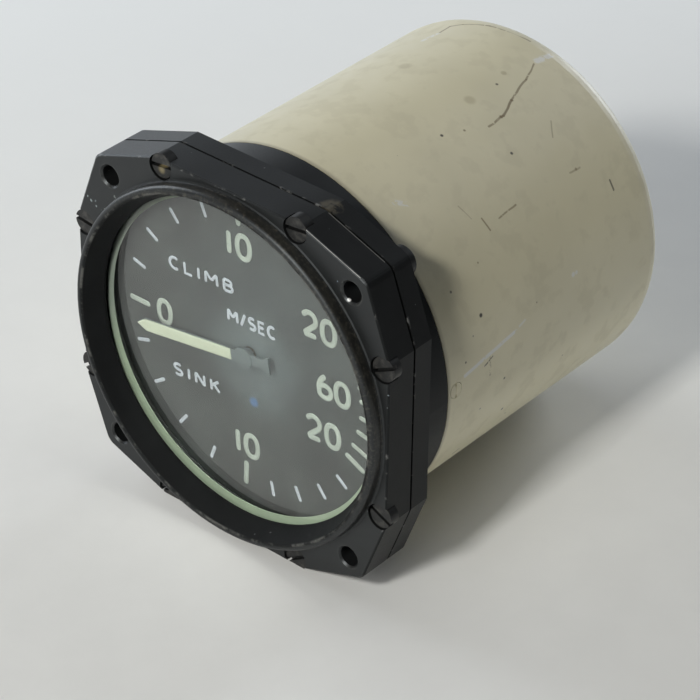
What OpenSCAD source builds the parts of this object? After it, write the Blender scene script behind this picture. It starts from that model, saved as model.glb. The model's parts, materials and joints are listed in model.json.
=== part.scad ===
// Vertical speed indicator: a panel instrument in a round drawn case, with a
// square-cornered flange, a dial under glass, and the capsule movement inside.
// X is right and Z is up for someone who faces the dial; Y runs into the panel.
// The origin is the centre of the flange's front face, which seats on the panel.

/* [Flange] */
// Width of the flange across two opposite flats
flange_width = 83; // [74:0.5:100]
// Length of each flat, between the two tapers beside it
flange_flat = 38.5; // [30:0.5:46]
// Slope of each taper between a flat and a corner, in degrees
taper_angle = 20; // [15:1:24]
// Radius of the flange's four corners
corner_r = 3; // [1:0.5:6]
// Thickness of the front plate, which is one piece with the bezel ring
front_plate_t = 7.3; // [6:0.1:10]
// Thickness of the sealing gasket between the two plates
gasket_t = 0.5; // [0.3:0.1:1]
// How far the gasket's edge lies in from the plates' edges
gasket_inset = 0.8; // [0.4:0.1:1.2]
// Thickness of the rear plate of the flange
rear_plate_t = 5.2; // [5:0.1:9]
// Broken edge on the outer faces of both plates
edge_break = 0.35; // [0.1:0.05:0.6]

/* [Fixings] */
// Pitch circle of the four mounting holes
mount_pcd = 90; // [88:0.5:110]
// Diameter of each mounting hole through the plates
mount_hole_d = 4.5; // [3.5:0.1:5]
// Bore of the captive nuts, the minor diameter of their thread
nut_bore_d = 3.3; // [2.5:0.1:4]
// Outer diameter of each captive nut
nut_d = 6.4; // [5.6:0.1:7]
// How far each captive nut stands out behind the flange
nut_proud = 3; // [2:0.1:5]
// Distance of each bezel screw from the middle of its flat
screw_spread = 17.6; // [14:0.1:19]
// Distance of each bezel screw in from the flat's edge
screw_edge = 1.7; // [1.6:0.05:2]
// Thread diameter of the bezel screws
screw_d = 2.5; // [2:0.1:2.6]
// Head diameter of the bezel screws
screw_head_d = 5.4; // [4.5:0.1:5.6]
// Head height of the bezel screws
screw_head_h = 2.3; // [1.5:0.1:2.6]
// Depth of the pocket that each bezel screw sits in
screw_pocket_t = 2.7; // [2:0.1:3.5]

/* [Bezel and glass] */
// Outer diameter of the bezel ring, which passes through the panel
bezel_d = 80.8; // [79.6:0.2:96]
// How far the bezel ring stands out in front of the flange
bezel_proud = 2.9; // [2:0.1:6]
// Rounding of the bezel ring's outer rim
bezel_rim_r = 0.95; // [0.5:0.05:1.2]
// Inner diameter of the bezel ring at its crest
crest_d = 77.2; // [75:0.2:77.6]
// Diameter of the lip that the glass rests behind
lip_d = 73.4; // [66:0.2:74]
// Depth of the lip's edge behind the flange's front face
lip_depth = 1.7; // [0.5:0.1:2]
// Diameter of the glass
glass_d = 77.6; // [75:0.2:78.4]
// Thickness of the glass
glass_t = 2; // [1.5:0.1:2.4]
// Thickness of the rubber ring in front of the glass
glass_seal_t = 0.4; // [0.2:0.1:0.8]
// Inner diameter of the pale ring that shows behind the glass
dial_ring_d = 71.4; // [66:0.2:72]

/* [Dial and pointer] */
// Thickness of the dial
dial_t = 0.5; // [0.3:0.1:0.9]
// Hole in the middle of the dial
dial_hole_d = 3.4; // [3:0.1:8]
// Length of the pointer from the axis to its tip
pointer_length = 30; // [20:0.5:32]
// Width of the pointer's blade near its tip
pointer_width = 2.9; // [1.5:0.1:4]
// Length of the pointer's tail behind the axis
pointer_tail = 7; // [4:0.5:12]
// Angle of the resting pointer below the zero mark, in degrees
pointer_rest = 8.5; // [0:0.5:12]

/* [Case] */
// Outer diameter of the case and of the black shoulder in front of it
case_d = 81; // [80:0.2:83]
// Thickness of the case's wall
case_wall = 1.2; // [0.8:0.1:2]
// Distance of the case's rear face behind the flange's front face
case_end = 92.5; // [76:0.5:140]
// Rounding of the case's rear edge
case_corner_r = 5; // [2:0.1:8]
// Length of the black shoulder behind the flange
shoulder_t = 6.8; // [4:0.1:12]
// Length of the spigot that the case slides over
spigot_t = 7; // [6:0.5:12]
// Diameter of the screws that hold the case on the spigot
case_screw_d = 2; // [1.6:0.1:2.5]

/* [Movement] */
// Tooth module of the sector and pinion
gear_module = 0.4; // [0.34:0.01:0.42]
// Teeth on the pinion
pinion_teeth = 10; // [9:1:11]
// Teeth that the sector would have as a full wheel
sector_teeth = 100; // [90:1:104]
// Teeth that the sector has
sector_cut = 14; // [12:1:16]
// Thickness of the two movement plates
movement_plate_t = 1.5; // [1:0.1:2]
// Distance between the two movement plates
movement_gap = 18.2; // [15:0.1:24]
// Length of the sector's tail from its arbor to the driving pin
sector_tail = 7.5; // [6:0.1:8]
// Distance of the rocking shaft behind the rear movement plate
rocking_offset = 8.5; // [7:0.1:12]
// Number of turns of the hairspring
hairspring_turns = 5; // [3:1:7]

/* [Capsule and port] */
// Diameter of the capsule's two diaphragms
capsule_d = 50; // [36:0.5:60]
// Thickness of a diaphragm's sheet
diaphragm_t = 0.3; // [0.2:0.05:0.5]
// Height of the corrugations
corrugation_h = 0.5; // [0.2:0.05:0.8]
// Distance of the capsule's bridge behind the rear movement plate
bridge_offset = 29; // [27:0.5:36]
// Distance of the static port below the case's centre
port_drop = 18; // [14:0.5:24]
// Outer diameter of the static port's hose spigot
port_d = 8; // [6:0.2:10]
// Length of the static port's hose spigot
port_length = 12; // [8:0.5:18]

/* [Hidden] */

$fn = 64;
// Clearance of a piece that drops into a recess, and of a screw through its hole
fit = 0.1;
drop_in = 0.1;
// Running clearance between a pivot and its bearing, on the radius
running = 0.04;
// How far a cut runs past the faces that it opens
past = 1;

// Depths behind the flange's front face, from the front to the rear
glass_y = lip_depth + 0.5 + glass_seal_t;
glass_back = glass_y + glass_t;
rear_plate_y = front_plate_t + gasket_t;
dial_back = rear_plate_y;
dial_y = dial_back - dial_t;
blade_y = dial_y - 2.1;
blade_t = 0.4;
flange_back = rear_plate_y + rear_plate_t;
shoulder_back = flange_back + shoulder_t;
spigot_back = shoulder_back + spigot_t;
case_inner_end = case_end - case_wall;

// Radii of the flange's bores and seats
seat_r = glass_d / 2 + drop_in;
dial_r = glass_d / 2;
ring_front_t = 0.8;
plate_rebate_t = movement_plate_t + 0.3;
ledge_front = dial_back + plate_rebate_t;
ledge_t = 2.4;
plate_rebate_r = glass_d / 2 - 3.8;
ledge_r = plate_rebate_r - 4.4;
ledge_mid_r = (ledge_r + plate_rebate_r) / 2;
spigot_r = case_d / 2 - case_wall - 0.05;
bore_r = spigot_r - 2.4;

// Outline of the flange, kept as the distances of its edges from the centre
flange_half = flange_width / 2;
taper_reach = flange_flat / 2 * sin(taper_angle) + flange_half * cos(taper_angle);
mount_xz = mount_pcd / 2 * sqrt(0.5);
screw_row = flange_half - screw_edge;
screw_slots = [7, 7, 28, -25, 33, 20, 35, -6];
screw_places = [for (side = [0:3], end = [0, 1])
    [side * 90, (2 * end - 1) * screw_spread, screw_slots[2 * side + end]]];

case_screw_angles = [2, 178];
case_head_r = 0.85 * case_screw_d;

// Movement plates and what turns between them
front_plate_y = ledge_front - movement_plate_t;
front_plate_back = ledge_front;
rear_mplate_y = front_plate_back + movement_gap;
rear_mplate_back = rear_mplate_y + movement_plate_t;
movement_r = plate_rebate_r - drop_in;
rear_mplate_r = min(movement_r, bore_r - 1);
pinion_r = gear_module * pinion_teeth / 2;
sector_r = gear_module * sector_teeth / 2;
tooth_play = 0.06;
gear_distance = pinion_r + sector_r + 0.04;
gear_ratio = sector_teeth / pinion_teeth;
sector_dir = 158.5;
sector_x = gear_distance * cos(sector_dir);
sector_z = gear_distance * sin(sector_dir);
sector_y = front_plate_back + 7.2;
sector_t = 1.2;
sector_mid = sector_y + sector_t / 2;
pinion_y = sector_y - 1.2;
pinion_t = sector_t + 2.4;
arbor_r = 0.9;
pivot_r = 0.45;
bearing_r = 2;
bearing_lip = 0.8;
sector_rest = pointer_rest / gear_ratio;
bearing_places = [[0, 0], [sector_x, sector_z]];

// Hairspring between the sector and the rear movement plate
spring_y = sector_y + sector_t + 2.6;
spring_w = 0.8;
spring_t = 0.12;
collet_r = 1.7;
spring_r0 = collet_r + 0.05;
spring_r1 = 6.4;
stud_angle = 70;

// Rocking shaft, which crosses behind the rear movement plate
rocking_y = rear_mplate_back + rocking_offset;
rocking_z = sector_z;
drive_x = sector_x - sector_tail;
drive_reach = rocking_y - sector_mid;
rocking_rest = sector_rest * sector_tail / drive_reach;
rocking_x0 = drive_x - 4.4;
rocking_x1 = 7;
bracket_t = 1.5;
bracket_places = [rocking_x0, rocking_x1];
drive_pin_r = 0.5;
fork_play = 0.25;

// Capsule behind the rocking shaft, on a bridge
bridge_y = rear_mplate_back + bridge_offset;
bridge_t = 2;
bridge_w = 9;
rear_diaphragm_y = bridge_y - 3.2;
front_diaphragm_y = rear_diaphragm_y - 3.4;
capsule_mid = (front_diaphragm_y + rear_diaphragm_y) / 2;
wave_count = 5;
wave_steps = 40;
flat_rim = 1.2;
capsule_boss_r = 2.6;
link_pin_r = 0.6;
link_play = 0.15;
pillar_r = 2;
pillar_circle_r = 24.5;
pillar_angles = [100, 265, 345];
bridge_pillar_x = max(pillar_circle_r + 5, capsule_d / 2 + pillar_r + 2.5);
tee_y = bridge_y + bridge_t;
tee_t = 6;
tube_r = 1.5;
tube_bend_r = 4;
port_flange_r = port_d / 2 + 4;

// Turns a profile of [radius, depth] points about the instrument's axis
module turned(points) {
    rotate([-90, 0, 0])
        rotate_extrude()
            polygon(points);
}

// Lays a flat outline of [x, z] points between two depths
module laid(from, to) {
    translate([0, to, 0])
        rotate([90, 0, 0])
            linear_extrude(to - from)
                children();
}

// A round bar along the depth, at [x, z]
module bar(x, z, r, from, to) {
    translate([x, from, z])
        rotate([-90, 0, 0])
            cylinder(r = r, h = to - from);
}

function turn(p, a) = [p[0] * cos(a) - p[1] * sin(a), p[0] * sin(a) + p[1] * cos(a)];
function polar(r, a) = [r * cos(a), r * sin(a)];

// The flange's outline, moved in by an inset
function flange_quarter(inset) =
    let (half = flange_half - inset,
         reach = taper_reach - inset,
         flat_end = (reach - half * cos(taper_angle)) / sin(taper_angle),
         r = max(corner_r - inset, 0.3),
         centre = (reach - r) / (sin(taper_angle) + cos(taper_angle)),
         step = (90 - 2 * taper_angle) / 5)
    concat([[half, flat_end]],
           [for (i = [0:5]) [centre, centre] + polar(r, taper_angle + i * step)],
           [[flat_end, half]]);

module flange_outline(inset = 0) {
    polygon([for (side = [0:3], p = flange_quarter(inset)) turn(p, side * 90)]);
}

// A plate of the flange, with its edge broken at the front or at the rear
module flange_plate(from, to, break_front) {
    inset_scale = (flange_half - edge_break) / flange_half;
    flat_from = break_front ? from + edge_break : from;
    flat_to = break_front ? to : to - edge_break;
    laid(flat_from, flat_to) flange_outline();
    if (break_front)
        translate([0, flat_from, 0])
            rotate([90, 0, 0])
                linear_extrude(edge_break, scale = inset_scale)
                    flange_outline();
    else
        translate([0, flat_to, 0])
            rotate([-90, 0, 0])
                linear_extrude(edge_break, scale = inset_scale)
                    flange_outline();
}

// One hole of the given radius at each of the eight bezel screws
module at_screws() {
    for (place = screw_places)
        rotate([0, place[0], 0])
            translate([place[1], 0, screw_row])
                children();
}

module at_mounts() {
    for (x = [-1, 1], z = [-1, 1])
        translate([x * mount_xz, 0, z * mount_xz])
            children();
}

module front_bezel() {
    outer_r = bezel_d / 2;
    foot_r = outer_r + 0.5;
    crest_r = crest_d / 2;
    rim_y = -bezel_proud + bezel_rim_r;
    rim = [for (a = [0:15:90])
        [outer_r - bezel_rim_r + bezel_rim_r * cos(a), rim_y - bezel_rim_r * sin(a)]];
    color([0.05, 0.05, 0.055])
    difference() {
        union() {
            flange_plate(0, front_plate_t, true);
            turned(concat([[lip_d / 2, front_plate_t / 2], [foot_r, front_plate_t / 2], [foot_r, 0],
                [outer_r + 0.15, -0.15], [outer_r, -0.5]], rim,
                [[crest_r + 0.35, -bezel_proud], [crest_r, -bezel_proud + 0.25],
                 [lip_d / 2, lip_depth]]));
        }
        turned([[0, -bezel_proud - past], [crest_r - 0.35, -bezel_proud - past],
            [crest_r, -bezel_proud + 0.25], [lip_d / 2, lip_depth], [lip_d / 2, lip_depth + 0.5],
            [seat_r, lip_depth + 0.5], [seat_r, front_plate_t + past], [0, front_plate_t + past]]);
        at_screws() {
            bar(0, 0, screw_head_d / 2 + 0.25, -past, screw_pocket_t);
            bar(0, 0, screw_d / 2 + fit, 0, front_plate_t + past);
        }
        at_mounts() {
            bar(0, 0, mount_hole_d / 2, -past, front_plate_t + past);
            rotate([90, 0, 0])
                translate([0, 0, -0.4])
                    cylinder(r1 = mount_hole_d / 2, r2 = mount_hole_d / 2 + 0.5, h = 0.5);
        }
    }
}

module bezel_screws() {
    tip = flange_back - 1;
    head_y = screw_pocket_t - screw_head_h;
    color([0.09, 0.09, 0.09])
    for (place = screw_places)
        rotate([0, place[0], 0])
            translate([place[1], 0, screw_row])
                rotate([0, -place[0] - place[2], 0])
                    difference() {
                        union() {
                            bar(0, 0, screw_head_d / 2, head_y, screw_pocket_t);
                            bar(0, 0, screw_d / 2, screw_pocket_t, tip);
                        }
                        translate([-screw_head_d, head_y - past, -0.4])
                            cube([2 * screw_head_d, 1 + past, 0.8]);
                    }
}

module glass() {
    color([0.75, 0.82, 0.80, 0.35])
    turned([[0, glass_y], [glass_d / 2 - 0.3, glass_y], [glass_d / 2, glass_y + 0.3],
        [glass_d / 2, glass_back - 0.3], [glass_d / 2 - 0.3, glass_back], [0, glass_back]]);
}

module glass_seal() {
    color([0.03, 0.03, 0.03])
    turned([[lip_d / 2 + 0.4, lip_depth + 0.5], [glass_d / 2, lip_depth + 0.5],
        [glass_d / 2, glass_y], [lip_d / 2 + 0.4, glass_y]]);
}

// A flat pale ring behind the glass, with a skirt that keeps it off the dial.
// Its bore widens towards the rear, so that only the front edge is seen.
module dial_ring() {
    inner_r = dial_ring_d / 2;
    color([0.76, 0.80, 0.70])
    turned([[inner_r, glass_back], [dial_r, glass_back], [dial_r, dial_y],
        [dial_r - 0.6, dial_y], [dial_r - 0.6, glass_back + ring_front_t],
        [inner_r + ring_front_t * 1.25, glass_back + ring_front_t],
        [inner_r, glass_back + 0.1]]);
}

module dial() {
    color([0.16, 0.17, 0.17])
    turned([[dial_hole_d / 2, dial_y], [dial_r, dial_y],
        [dial_r, dial_back], [dial_hole_d / 2, dial_back]]);
}

// The pointer, drawn on the zero mark at nine o'clock and turned to rest
module pointer() {
    neck = 1.3;
    color([0.80, 0.84, 0.72])
    rotate([0, -pointer_rest, 0])
        difference() {
            union() {
                laid(blade_y, blade_y + blade_t) {
                    polygon([[-pointer_length, 0], [-pointer_length + 2.2, pointer_width / 2],
                        [-4, neck], [0, neck], [0, -neck], [-4, -neck],
                        [-pointer_length + 2.2, -pointer_width / 2]]);
                    polygon([[0, neck], [pointer_tail - 2, neck * 0.8], [pointer_tail, 1.9],
                        [pointer_tail, -1.9], [pointer_tail - 2, -neck * 0.8], [0, -neck]]);
                }
                bar(0, 0, 2.4, blade_y - 0.2, blade_y + blade_t);
                bar(0, 0, 1.5, blade_y - 0.2, dial_y - 0.3);
            }
            bar(0, 0, 0.52, blade_y, dial_y + past);
        }
}

module flange_gasket() {
    color([0.10, 0.09, 0.08])
    difference() {
        laid(front_plate_t, rear_plate_y) flange_outline(gasket_inset);
        bar(0, 0, seat_r, front_plate_t - past, rear_plate_y + past);
        at_screws() bar(0, 0, screw_d / 2 + fit, front_plate_t - past, rear_plate_y + past);
        at_mounts() bar(0, 0, mount_hole_d / 2, front_plate_t - past, rear_plate_y + past);
    }
}

module rear_flange() {
    nut_seat_y = flange_back - 3;
    color([0.06, 0.06, 0.065])
    difference() {
        union() {
            flange_plate(rear_plate_y, flange_back, false);
            turned([[bore_r - 2, rear_plate_y + 1], [spigot_r - 3, rear_plate_y + 1],
                [case_d / 2, flange_back - 1], [case_d / 2, shoulder_back - 0.2],
                [case_d / 2 - 0.2, shoulder_back],
                [spigot_r, shoulder_back], [spigot_r, spigot_back - 0.5], [spigot_r - 0.5, spigot_back],
                [bore_r - 2, spigot_back]]);
        }
        turned([[0, rear_plate_y - past], [plate_rebate_r, rear_plate_y - past],
            [plate_rebate_r, ledge_front], [ledge_r, ledge_front],
            [ledge_r, ledge_front + ledge_t], [bore_r, ledge_front + ledge_t + 2],
            [bore_r, spigot_back + past], [0, spigot_back + past]]);
        at_screws() bar(0, 0, screw_d / 2 + 0.02, rear_plate_y - past, flange_back - 0.6);
        at_mounts() {
            bar(0, 0, mount_hole_d / 2, rear_plate_y - past, nut_seat_y + past);
            bar(0, 0, nut_d / 2 - 0.4, nut_seat_y, flange_back + past);
        }
        at_movement_screws() bar(0, 0, 0.82, ledge_front - past, ledge_front + 2);
        at_case_screws() cylinder(r = case_screw_d / 2 + 0.02, h = 12, center = true);
    }
}

// Round captive nuts pressed into the rear plate behind the mounting holes
module mounting_nuts() {
    nut_seat_y = flange_back - 3;
    color([0.07, 0.07, 0.075])
    at_mounts()
        difference() {
            union() {
                bar(0, 0, nut_d / 2 - 0.42, nut_seat_y, flange_back);
                bar(0, 0, nut_d / 2, flange_back, flange_back + nut_proud - 0.5);
                translate([0, flange_back + nut_proud - 0.5, 0])
                    rotate([-90, 0, 0])
                        cylinder(r1 = nut_d / 2, r2 = nut_d / 2 - 0.5, h = 0.5);
            }
            bar(0, 0, nut_bore_d / 2, nut_seat_y - past, flange_back + nut_proud + past);
        }
}

// Screws through the case's front edge into the spigot, sunk under its paint
module at_case_screws() {
    for (a = case_screw_angles)
        rotate([0, -a, 0])
            translate([spigot_r - 0.4, shoulder_back + 2.4, 0])
                rotate([0, 90, 0])
                    children();
}

module case_can() {
    outer = case_d / 2;
    inner = outer - case_wall;
    inner_corner = max(case_corner_r - case_wall, 0.5);
    outside = [for (a = [0:15:90])
        [outer - case_corner_r, case_end - case_corner_r] + polar(case_corner_r, a)];
    inside = [for (a = [90:-15:0])
        [inner - inner_corner, case_inner_end - inner_corner] + polar(inner_corner, a)];
    color([0.84, 0.81, 0.70])
    difference() {
        turned(concat([[inner, shoulder_back], [outer, shoulder_back]], outside,
            [[0, case_end], [0, case_inner_end]], inside));
        bar(0, -port_drop, port_d / 2 + 1.1, case_inner_end - past, case_end + past);
        at_case_screws() {
            cylinder(r = case_screw_d / 2 + fit, h = 12, center = true);
            translate([0, 0, case_wall - 0.1])
                cylinder(r = case_head_r + fit, h = 5);
        }
    }
}

module case_screws() {
    color([0.78, 0.75, 0.64])
    at_case_screws() {
        translate([0, 0, -1.6])
            cylinder(r = case_screw_d / 2, h = 3.2);
        translate([0, 0, case_wall - 0.1])
            difference() {
                cylinder(r = case_head_r, h = 0.55);
                translate([-case_screw_d, -0.25, 0.3])
                    cube([2 * case_screw_d, 0.5, 1]);
            }
    }
}

module at_movement_screws() {
    for (a = [45:90:315])
        translate([ledge_mid_r * cos(a), 0, ledge_mid_r * sin(a)])
            children();
}

module at_pillars() {
    for (a = pillar_angles)
        translate([pillar_circle_r * cos(a), 0, pillar_circle_r * sin(a)])
            children();
}

module front_movement_plate() {
    color([0.78, 0.66, 0.38])
    difference() {
        bar(0, 0, movement_r, front_plate_y, front_plate_back);
        for (at = bearing_places)
            bar(at[0], at[1], bearing_r + 0.02, front_plate_y - past, front_plate_back + past);
        at_pillars() bar(0, 0, 1.05, front_plate_y - past, front_plate_back + past);
        at_movement_screws() {
            bar(0, 0, 0.95, front_plate_y - past, front_plate_back + past);
            translate([0, front_plate_y - 0.01, 0])
                rotate([-90, 0, 0])
                    cylinder(r1 = 1.95, r2 = 0.95, h = 1);
        }
        laid(front_plate_y - past, front_plate_back + past)
            for (a = [150, 270, 30])
                rotate(a) translate([15, 0]) circle(r = 5);
    }
}

module movement_screws() {
    color([0.55, 0.55, 0.52])
    at_movement_screws()
        difference() {
            union() {
                translate([0, front_plate_y + 0.05, 0])
                    rotate([-90, 0, 0])
                        cylinder(r1 = 1.85, r2 = 0.8, h = 1);
                bar(0, 0, 0.8, front_plate_y + 1, ledge_front + 1.8);
            }
            translate([-2.5, front_plate_y - past, -0.2])
                cube([5, 0.4 + past, 0.4]);
        }
}

module rear_movement_plate() {
    color([0.78, 0.66, 0.38])
    difference() {
        bar(0, 0, rear_mplate_r, rear_mplate_y, rear_mplate_back);
        for (at = bearing_places)
            bar(at[0], at[1], bearing_r + 0.02, rear_mplate_y - past, rear_mplate_back + past);
        at_pillars() bar(0, 0, 1.05, rear_mplate_y - past, rear_mplate_back + past);
        at_bridge_pillars() bar(0, 0, 1.05, rear_mplate_y - past, rear_mplate_back + past);
        translate([drive_x - 1.6, rear_mplate_y - past, rocking_z - 4.5])
            cube([3.2, movement_plate_t + 2 * past, 9]);
        at_bracket_screws() bar(0, 0, 0.82, rear_mplate_y - past, rear_mplate_back + past);
        bar(0, -14, 5, rear_mplate_y - past, rear_mplate_back + past);
        bar(14, 8, 5, rear_mplate_y - past, rear_mplate_back + past);
        bar(-12, 13, 5, rear_mplate_y - past, rear_mplate_back + past);
        hairspring_stud_hole();
    }
}

// Three pillars between the plates, with a threaded end through each plate
module movement_pillars() {
    color([0.72, 0.62, 0.36])
    at_pillars() {
        bar(0, 0, pillar_r, front_plate_back, rear_mplate_y);
        bar(0, 0, 1, front_plate_y + 0.2, front_plate_back);
        bar(0, 0, 1, rear_mplate_y, rear_mplate_back + 1.9);
    }
}

module hex_nut(across, bore_r, from, to) {
    difference() {
        translate([0, from, 0])
            rotate([-90, 0, 0])
                cylinder(r = across / 2 / cos(30), h = to - from, $fn = 6);
        bar(0, 0, bore_r, from - past, to + past);
    }
}

module pillar_nuts() {
    color([0.60, 0.60, 0.57])
    at_pillars() hex_nut(4, 1.03, rear_mplate_back, rear_mplate_back + 1.6);
}

module front_bearings() {
    color([0.82, 0.68, 0.35])
    for (at = bearing_places)
        difference() {
            union() {
                bar(at[0], at[1], bearing_r, front_plate_y, front_plate_back);
                bar(at[0], at[1], bearing_r + 1, front_plate_back, front_plate_back + bearing_lip);
            }
            bar(at[0], at[1], pivot_r + running + (at[0] == 0 ? 0.05 : 0),
                front_plate_y - past, front_plate_back + bearing_lip + past);
        }
}

module rear_bearings() {
    color([0.82, 0.68, 0.35])
    for (at = bearing_places)
        difference() {
            union() {
                bar(at[0], at[1], bearing_r, rear_mplate_y, rear_mplate_back);
                bar(at[0], at[1], bearing_r + 1, rear_mplate_y - bearing_lip, rear_mplate_y);
            }
            bar(at[0], at[1], pivot_r + running,
                rear_mplate_y - bearing_lip - past, rear_mplate_back + past);
        }
}

// The arbor that carries the pointer at its front end
module pointer_arbor() {
    color([0.70, 0.70, 0.68])
    turned([[0, blade_y + 0.05], [pivot_r + 0.05, blade_y + 0.05],
        [pivot_r + 0.05, front_plate_back + bearing_lip + 0.15],
        [arbor_r, front_plate_back + bearing_lip + 0.15],
        [arbor_r, rear_mplate_y - bearing_lip - 0.15],
        [pivot_r, rear_mplate_y - bearing_lip - 0.15],
        [pivot_r, rear_mplate_back], [0, rear_mplate_back]]);
}

// A ring or sector of straight-sided teeth, with one tooth centred on angle 0
module toothed(pitch_r, teeth, cut, inner_r, play) {
    root = pitch_r - 1.25 * gear_module;
    tip = pitch_r + 0.85 * gear_module;
    pitch_angle = 360 / teeth;
    half_at_pitch = pitch_angle / 4 - play / pitch_r / 2 * 180 / PI;
    half_at_root = half_at_pitch + 0.36 * pitch_angle / 4;
    half_at_tip = half_at_pitch * 0.45;
    first = -floor(cut / 2);
    full = cut == teeth;
    outline = [for (i = [0:cut - 1])
        let (a = (first + i) * pitch_angle)
        each [polar(root, a - half_at_root), polar(pitch_r, a - half_at_pitch),
              polar(tip, a - half_at_tip), polar(tip, a + half_at_tip),
              polar(pitch_r, a + half_at_pitch), polar(root, a + half_at_root)]];
    from_a = (first - 0.5) * pitch_angle;
    to_a = (first + cut - 0.5) * pitch_angle;
    polygon(full ? outline : concat([polar(root, from_a)], outline, [polar(root, to_a)],
        [for (i = [0:8]) polar(inner_r, to_a + i * (from_a - to_a) / 8)]));
}

module pointer_pinion() {
    // A gap of the pinion meets the sector's middle tooth while the pointer is on zero
    phase = sector_dir + 180 / pinion_teeth + pointer_rest;
    color([0.70, 0.70, 0.68])
    difference() {
        laid(pinion_y, pinion_y + pinion_t)
            rotate(phase)
                toothed(pinion_r, pinion_teeth, pinion_teeth, 0, tooth_play);
        bar(0, 0, arbor_r + 0.01, pinion_y - past, pinion_y + pinion_t + past);
    }
}

module sector_gear() {
    rim_r = sector_r - 3;
    half_arc = sector_cut * 180 / sector_teeth;
    color([0.80, 0.67, 0.36])
    translate([sector_x, 0, sector_z])
        difference() {
            union() {
                laid(sector_y, sector_y + sector_t) {
                    rotate(sector_dir - 180 - sector_rest)
                        toothed(sector_r, sector_teeth, sector_cut, rim_r, tooth_play);
                    rotate(sector_dir - 180 - sector_rest)
                        for (side = [-1, 1])
                            polygon([polar(2.2, side * 70), polar(rim_r + 0.6, side * half_arc),
                                polar(rim_r + 0.6, side * (half_arc - 7)), polar(2.2, side * 5)]);
                    circle(r = 3);
                    rotate(180 - sector_rest)
                        sector_tail_outline();
                }
                bar(0, 0, 1.9, sector_y - 1.2, sector_y + sector_t + 1.2);
            }
            bar(0, 0, arbor_r + 0.01, sector_y - 2 * past, sector_y + sector_t + 2 * past);
        }
}

// The sector's tail ends in a fork that holds the drive arm's pin
module sector_tail_outline() {
    slot = drive_pin_r + fork_play;
    difference() {
        polygon([[0, -2], [sector_tail - 2, -1.9], [sector_tail + 1.8, -1.9],
            [sector_tail + 1.8, 1.9], [sector_tail - 2, 1.9], [0, 2]]);
        translate([sector_tail - 1.4, -slot])
            square([5, 2 * slot]);
    }
}

module sector_arbor() {
    color([0.70, 0.70, 0.68])
    translate([sector_x, 0, sector_z])
        turned([[0, front_plate_y + 0.1], [pivot_r, front_plate_y + 0.1],
            [pivot_r, front_plate_back + bearing_lip + 0.15],
            [arbor_r, front_plate_back + bearing_lip + 0.15],
            [arbor_r, rear_mplate_y - bearing_lip - 0.15],
            [pivot_r, rear_mplate_y - bearing_lip - 0.15],
            [pivot_r, rear_mplate_back], [0, rear_mplate_back]]);
}

// Hairspring, its collet on the pointer's arbor, and its stud on the rear plate
module hairspring_collet() {
    color([0.80, 0.67, 0.36])
    turned([[arbor_r + 0.01, spring_y - 0.3], [collet_r, spring_y - 0.3],
        [collet_r, spring_y + spring_w + 0.3], [arbor_r + 0.01, spring_y + spring_w + 0.3]]);
}

function spring_point(i, side) =
    let (steps = hairspring_turns * 20, a = stud_angle - 360 * hairspring_turns * (1 - i / steps))
    polar(spring_r0 + (spring_r1 - spring_r0) * i / steps + side * spring_t, a);

module hairspring() {
    steps = hairspring_turns * 20;
    color([0.55, 0.62, 0.75])
    laid(spring_y, spring_y + spring_w)
        polygon(concat([for (i = [0:steps]) spring_point(i, 0)],
            [for (i = [steps:-1:0]) spring_point(i, 1)]));
}

module hairspring_stud_hole() {
    p = polar(spring_r1 + 1.1, stud_angle);
    bar(p[0], p[1], 0.52, rear_mplate_y - past, rear_mplate_back + past);
}

module hairspring_stud() {
    p = polar(spring_r1 + 1.1, stud_angle);
    color([0.80, 0.67, 0.36]) {
        bar(p[0], p[1], 0.85, spring_y - 0.4, rear_mplate_y);
        bar(p[0], p[1], 0.5, rear_mplate_y, rear_mplate_back);
    }
}

// The rocking shaft, its two arms and the brackets that carry it
module rocked() {
    translate([0, rocking_y, rocking_z])
        rotate([-rocking_rest, 0, 0])
            children();
}

module cross_bar(r, from, to) {
    translate([from, 0, 0])
        rotate([0, 90, 0])
            cylinder(r = r, h = to - from);
}

module rocking_shaft() {
    color([0.70, 0.70, 0.68])
    rocked() {
        cross_bar(1, rocking_x0 + bracket_t + 0.15, rocking_x1 - 0.15);
        cross_bar(pivot_r, rocking_x0 + 0.1, rocking_x0 + bracket_t + 0.15);
        cross_bar(pivot_r, rocking_x1 - 0.15, rocking_x1 + bracket_t - 0.1);
    }
}

module sector_drive_arm() {
    color([0.80, 0.67, 0.36])
    rocked()
        difference() {
            union() {
                translate([drive_x, 0, 0]) cross_bar(2, -1, 1);
                translate([drive_x - 0.6, -drive_reach + 2.2, -0.9])
                    cube([1.2, drive_reach - 3.2, 1.8]);
                translate([drive_x, 0, 0])
                    bar(0, 0, drive_pin_r, -drive_reach - 1.6, -drive_reach + 2.2);
            }
            cross_bar(1.01, drive_x - 3, drive_x + 3);
        }
}

module capsule_arm() {
    color([0.80, 0.67, 0.36])
    rocked()
        difference() {
            union() {
                cross_bar(2, -1, 1);
                translate([-0.6, -1.1, -rocking_z])
                    cube([1.2, 2.2, rocking_z - 0.5]);
                translate([0, 0, -rocking_z]) cross_bar(1.1, -0.6, 0.6);
                translate([0, 0, -rocking_z]) cross_bar(link_pin_r, -2.2, 2.2);
            }
            cross_bar(1.01, -3, 3);
        }
}

module at_bracket_screws() {
    for (x = bracket_places)
        translate([x + (x < 0 ? 2.9 : -1.6), 0, rocking_z + (x < 0 ? -7.2 : 3.6)])
            children();
}

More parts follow.
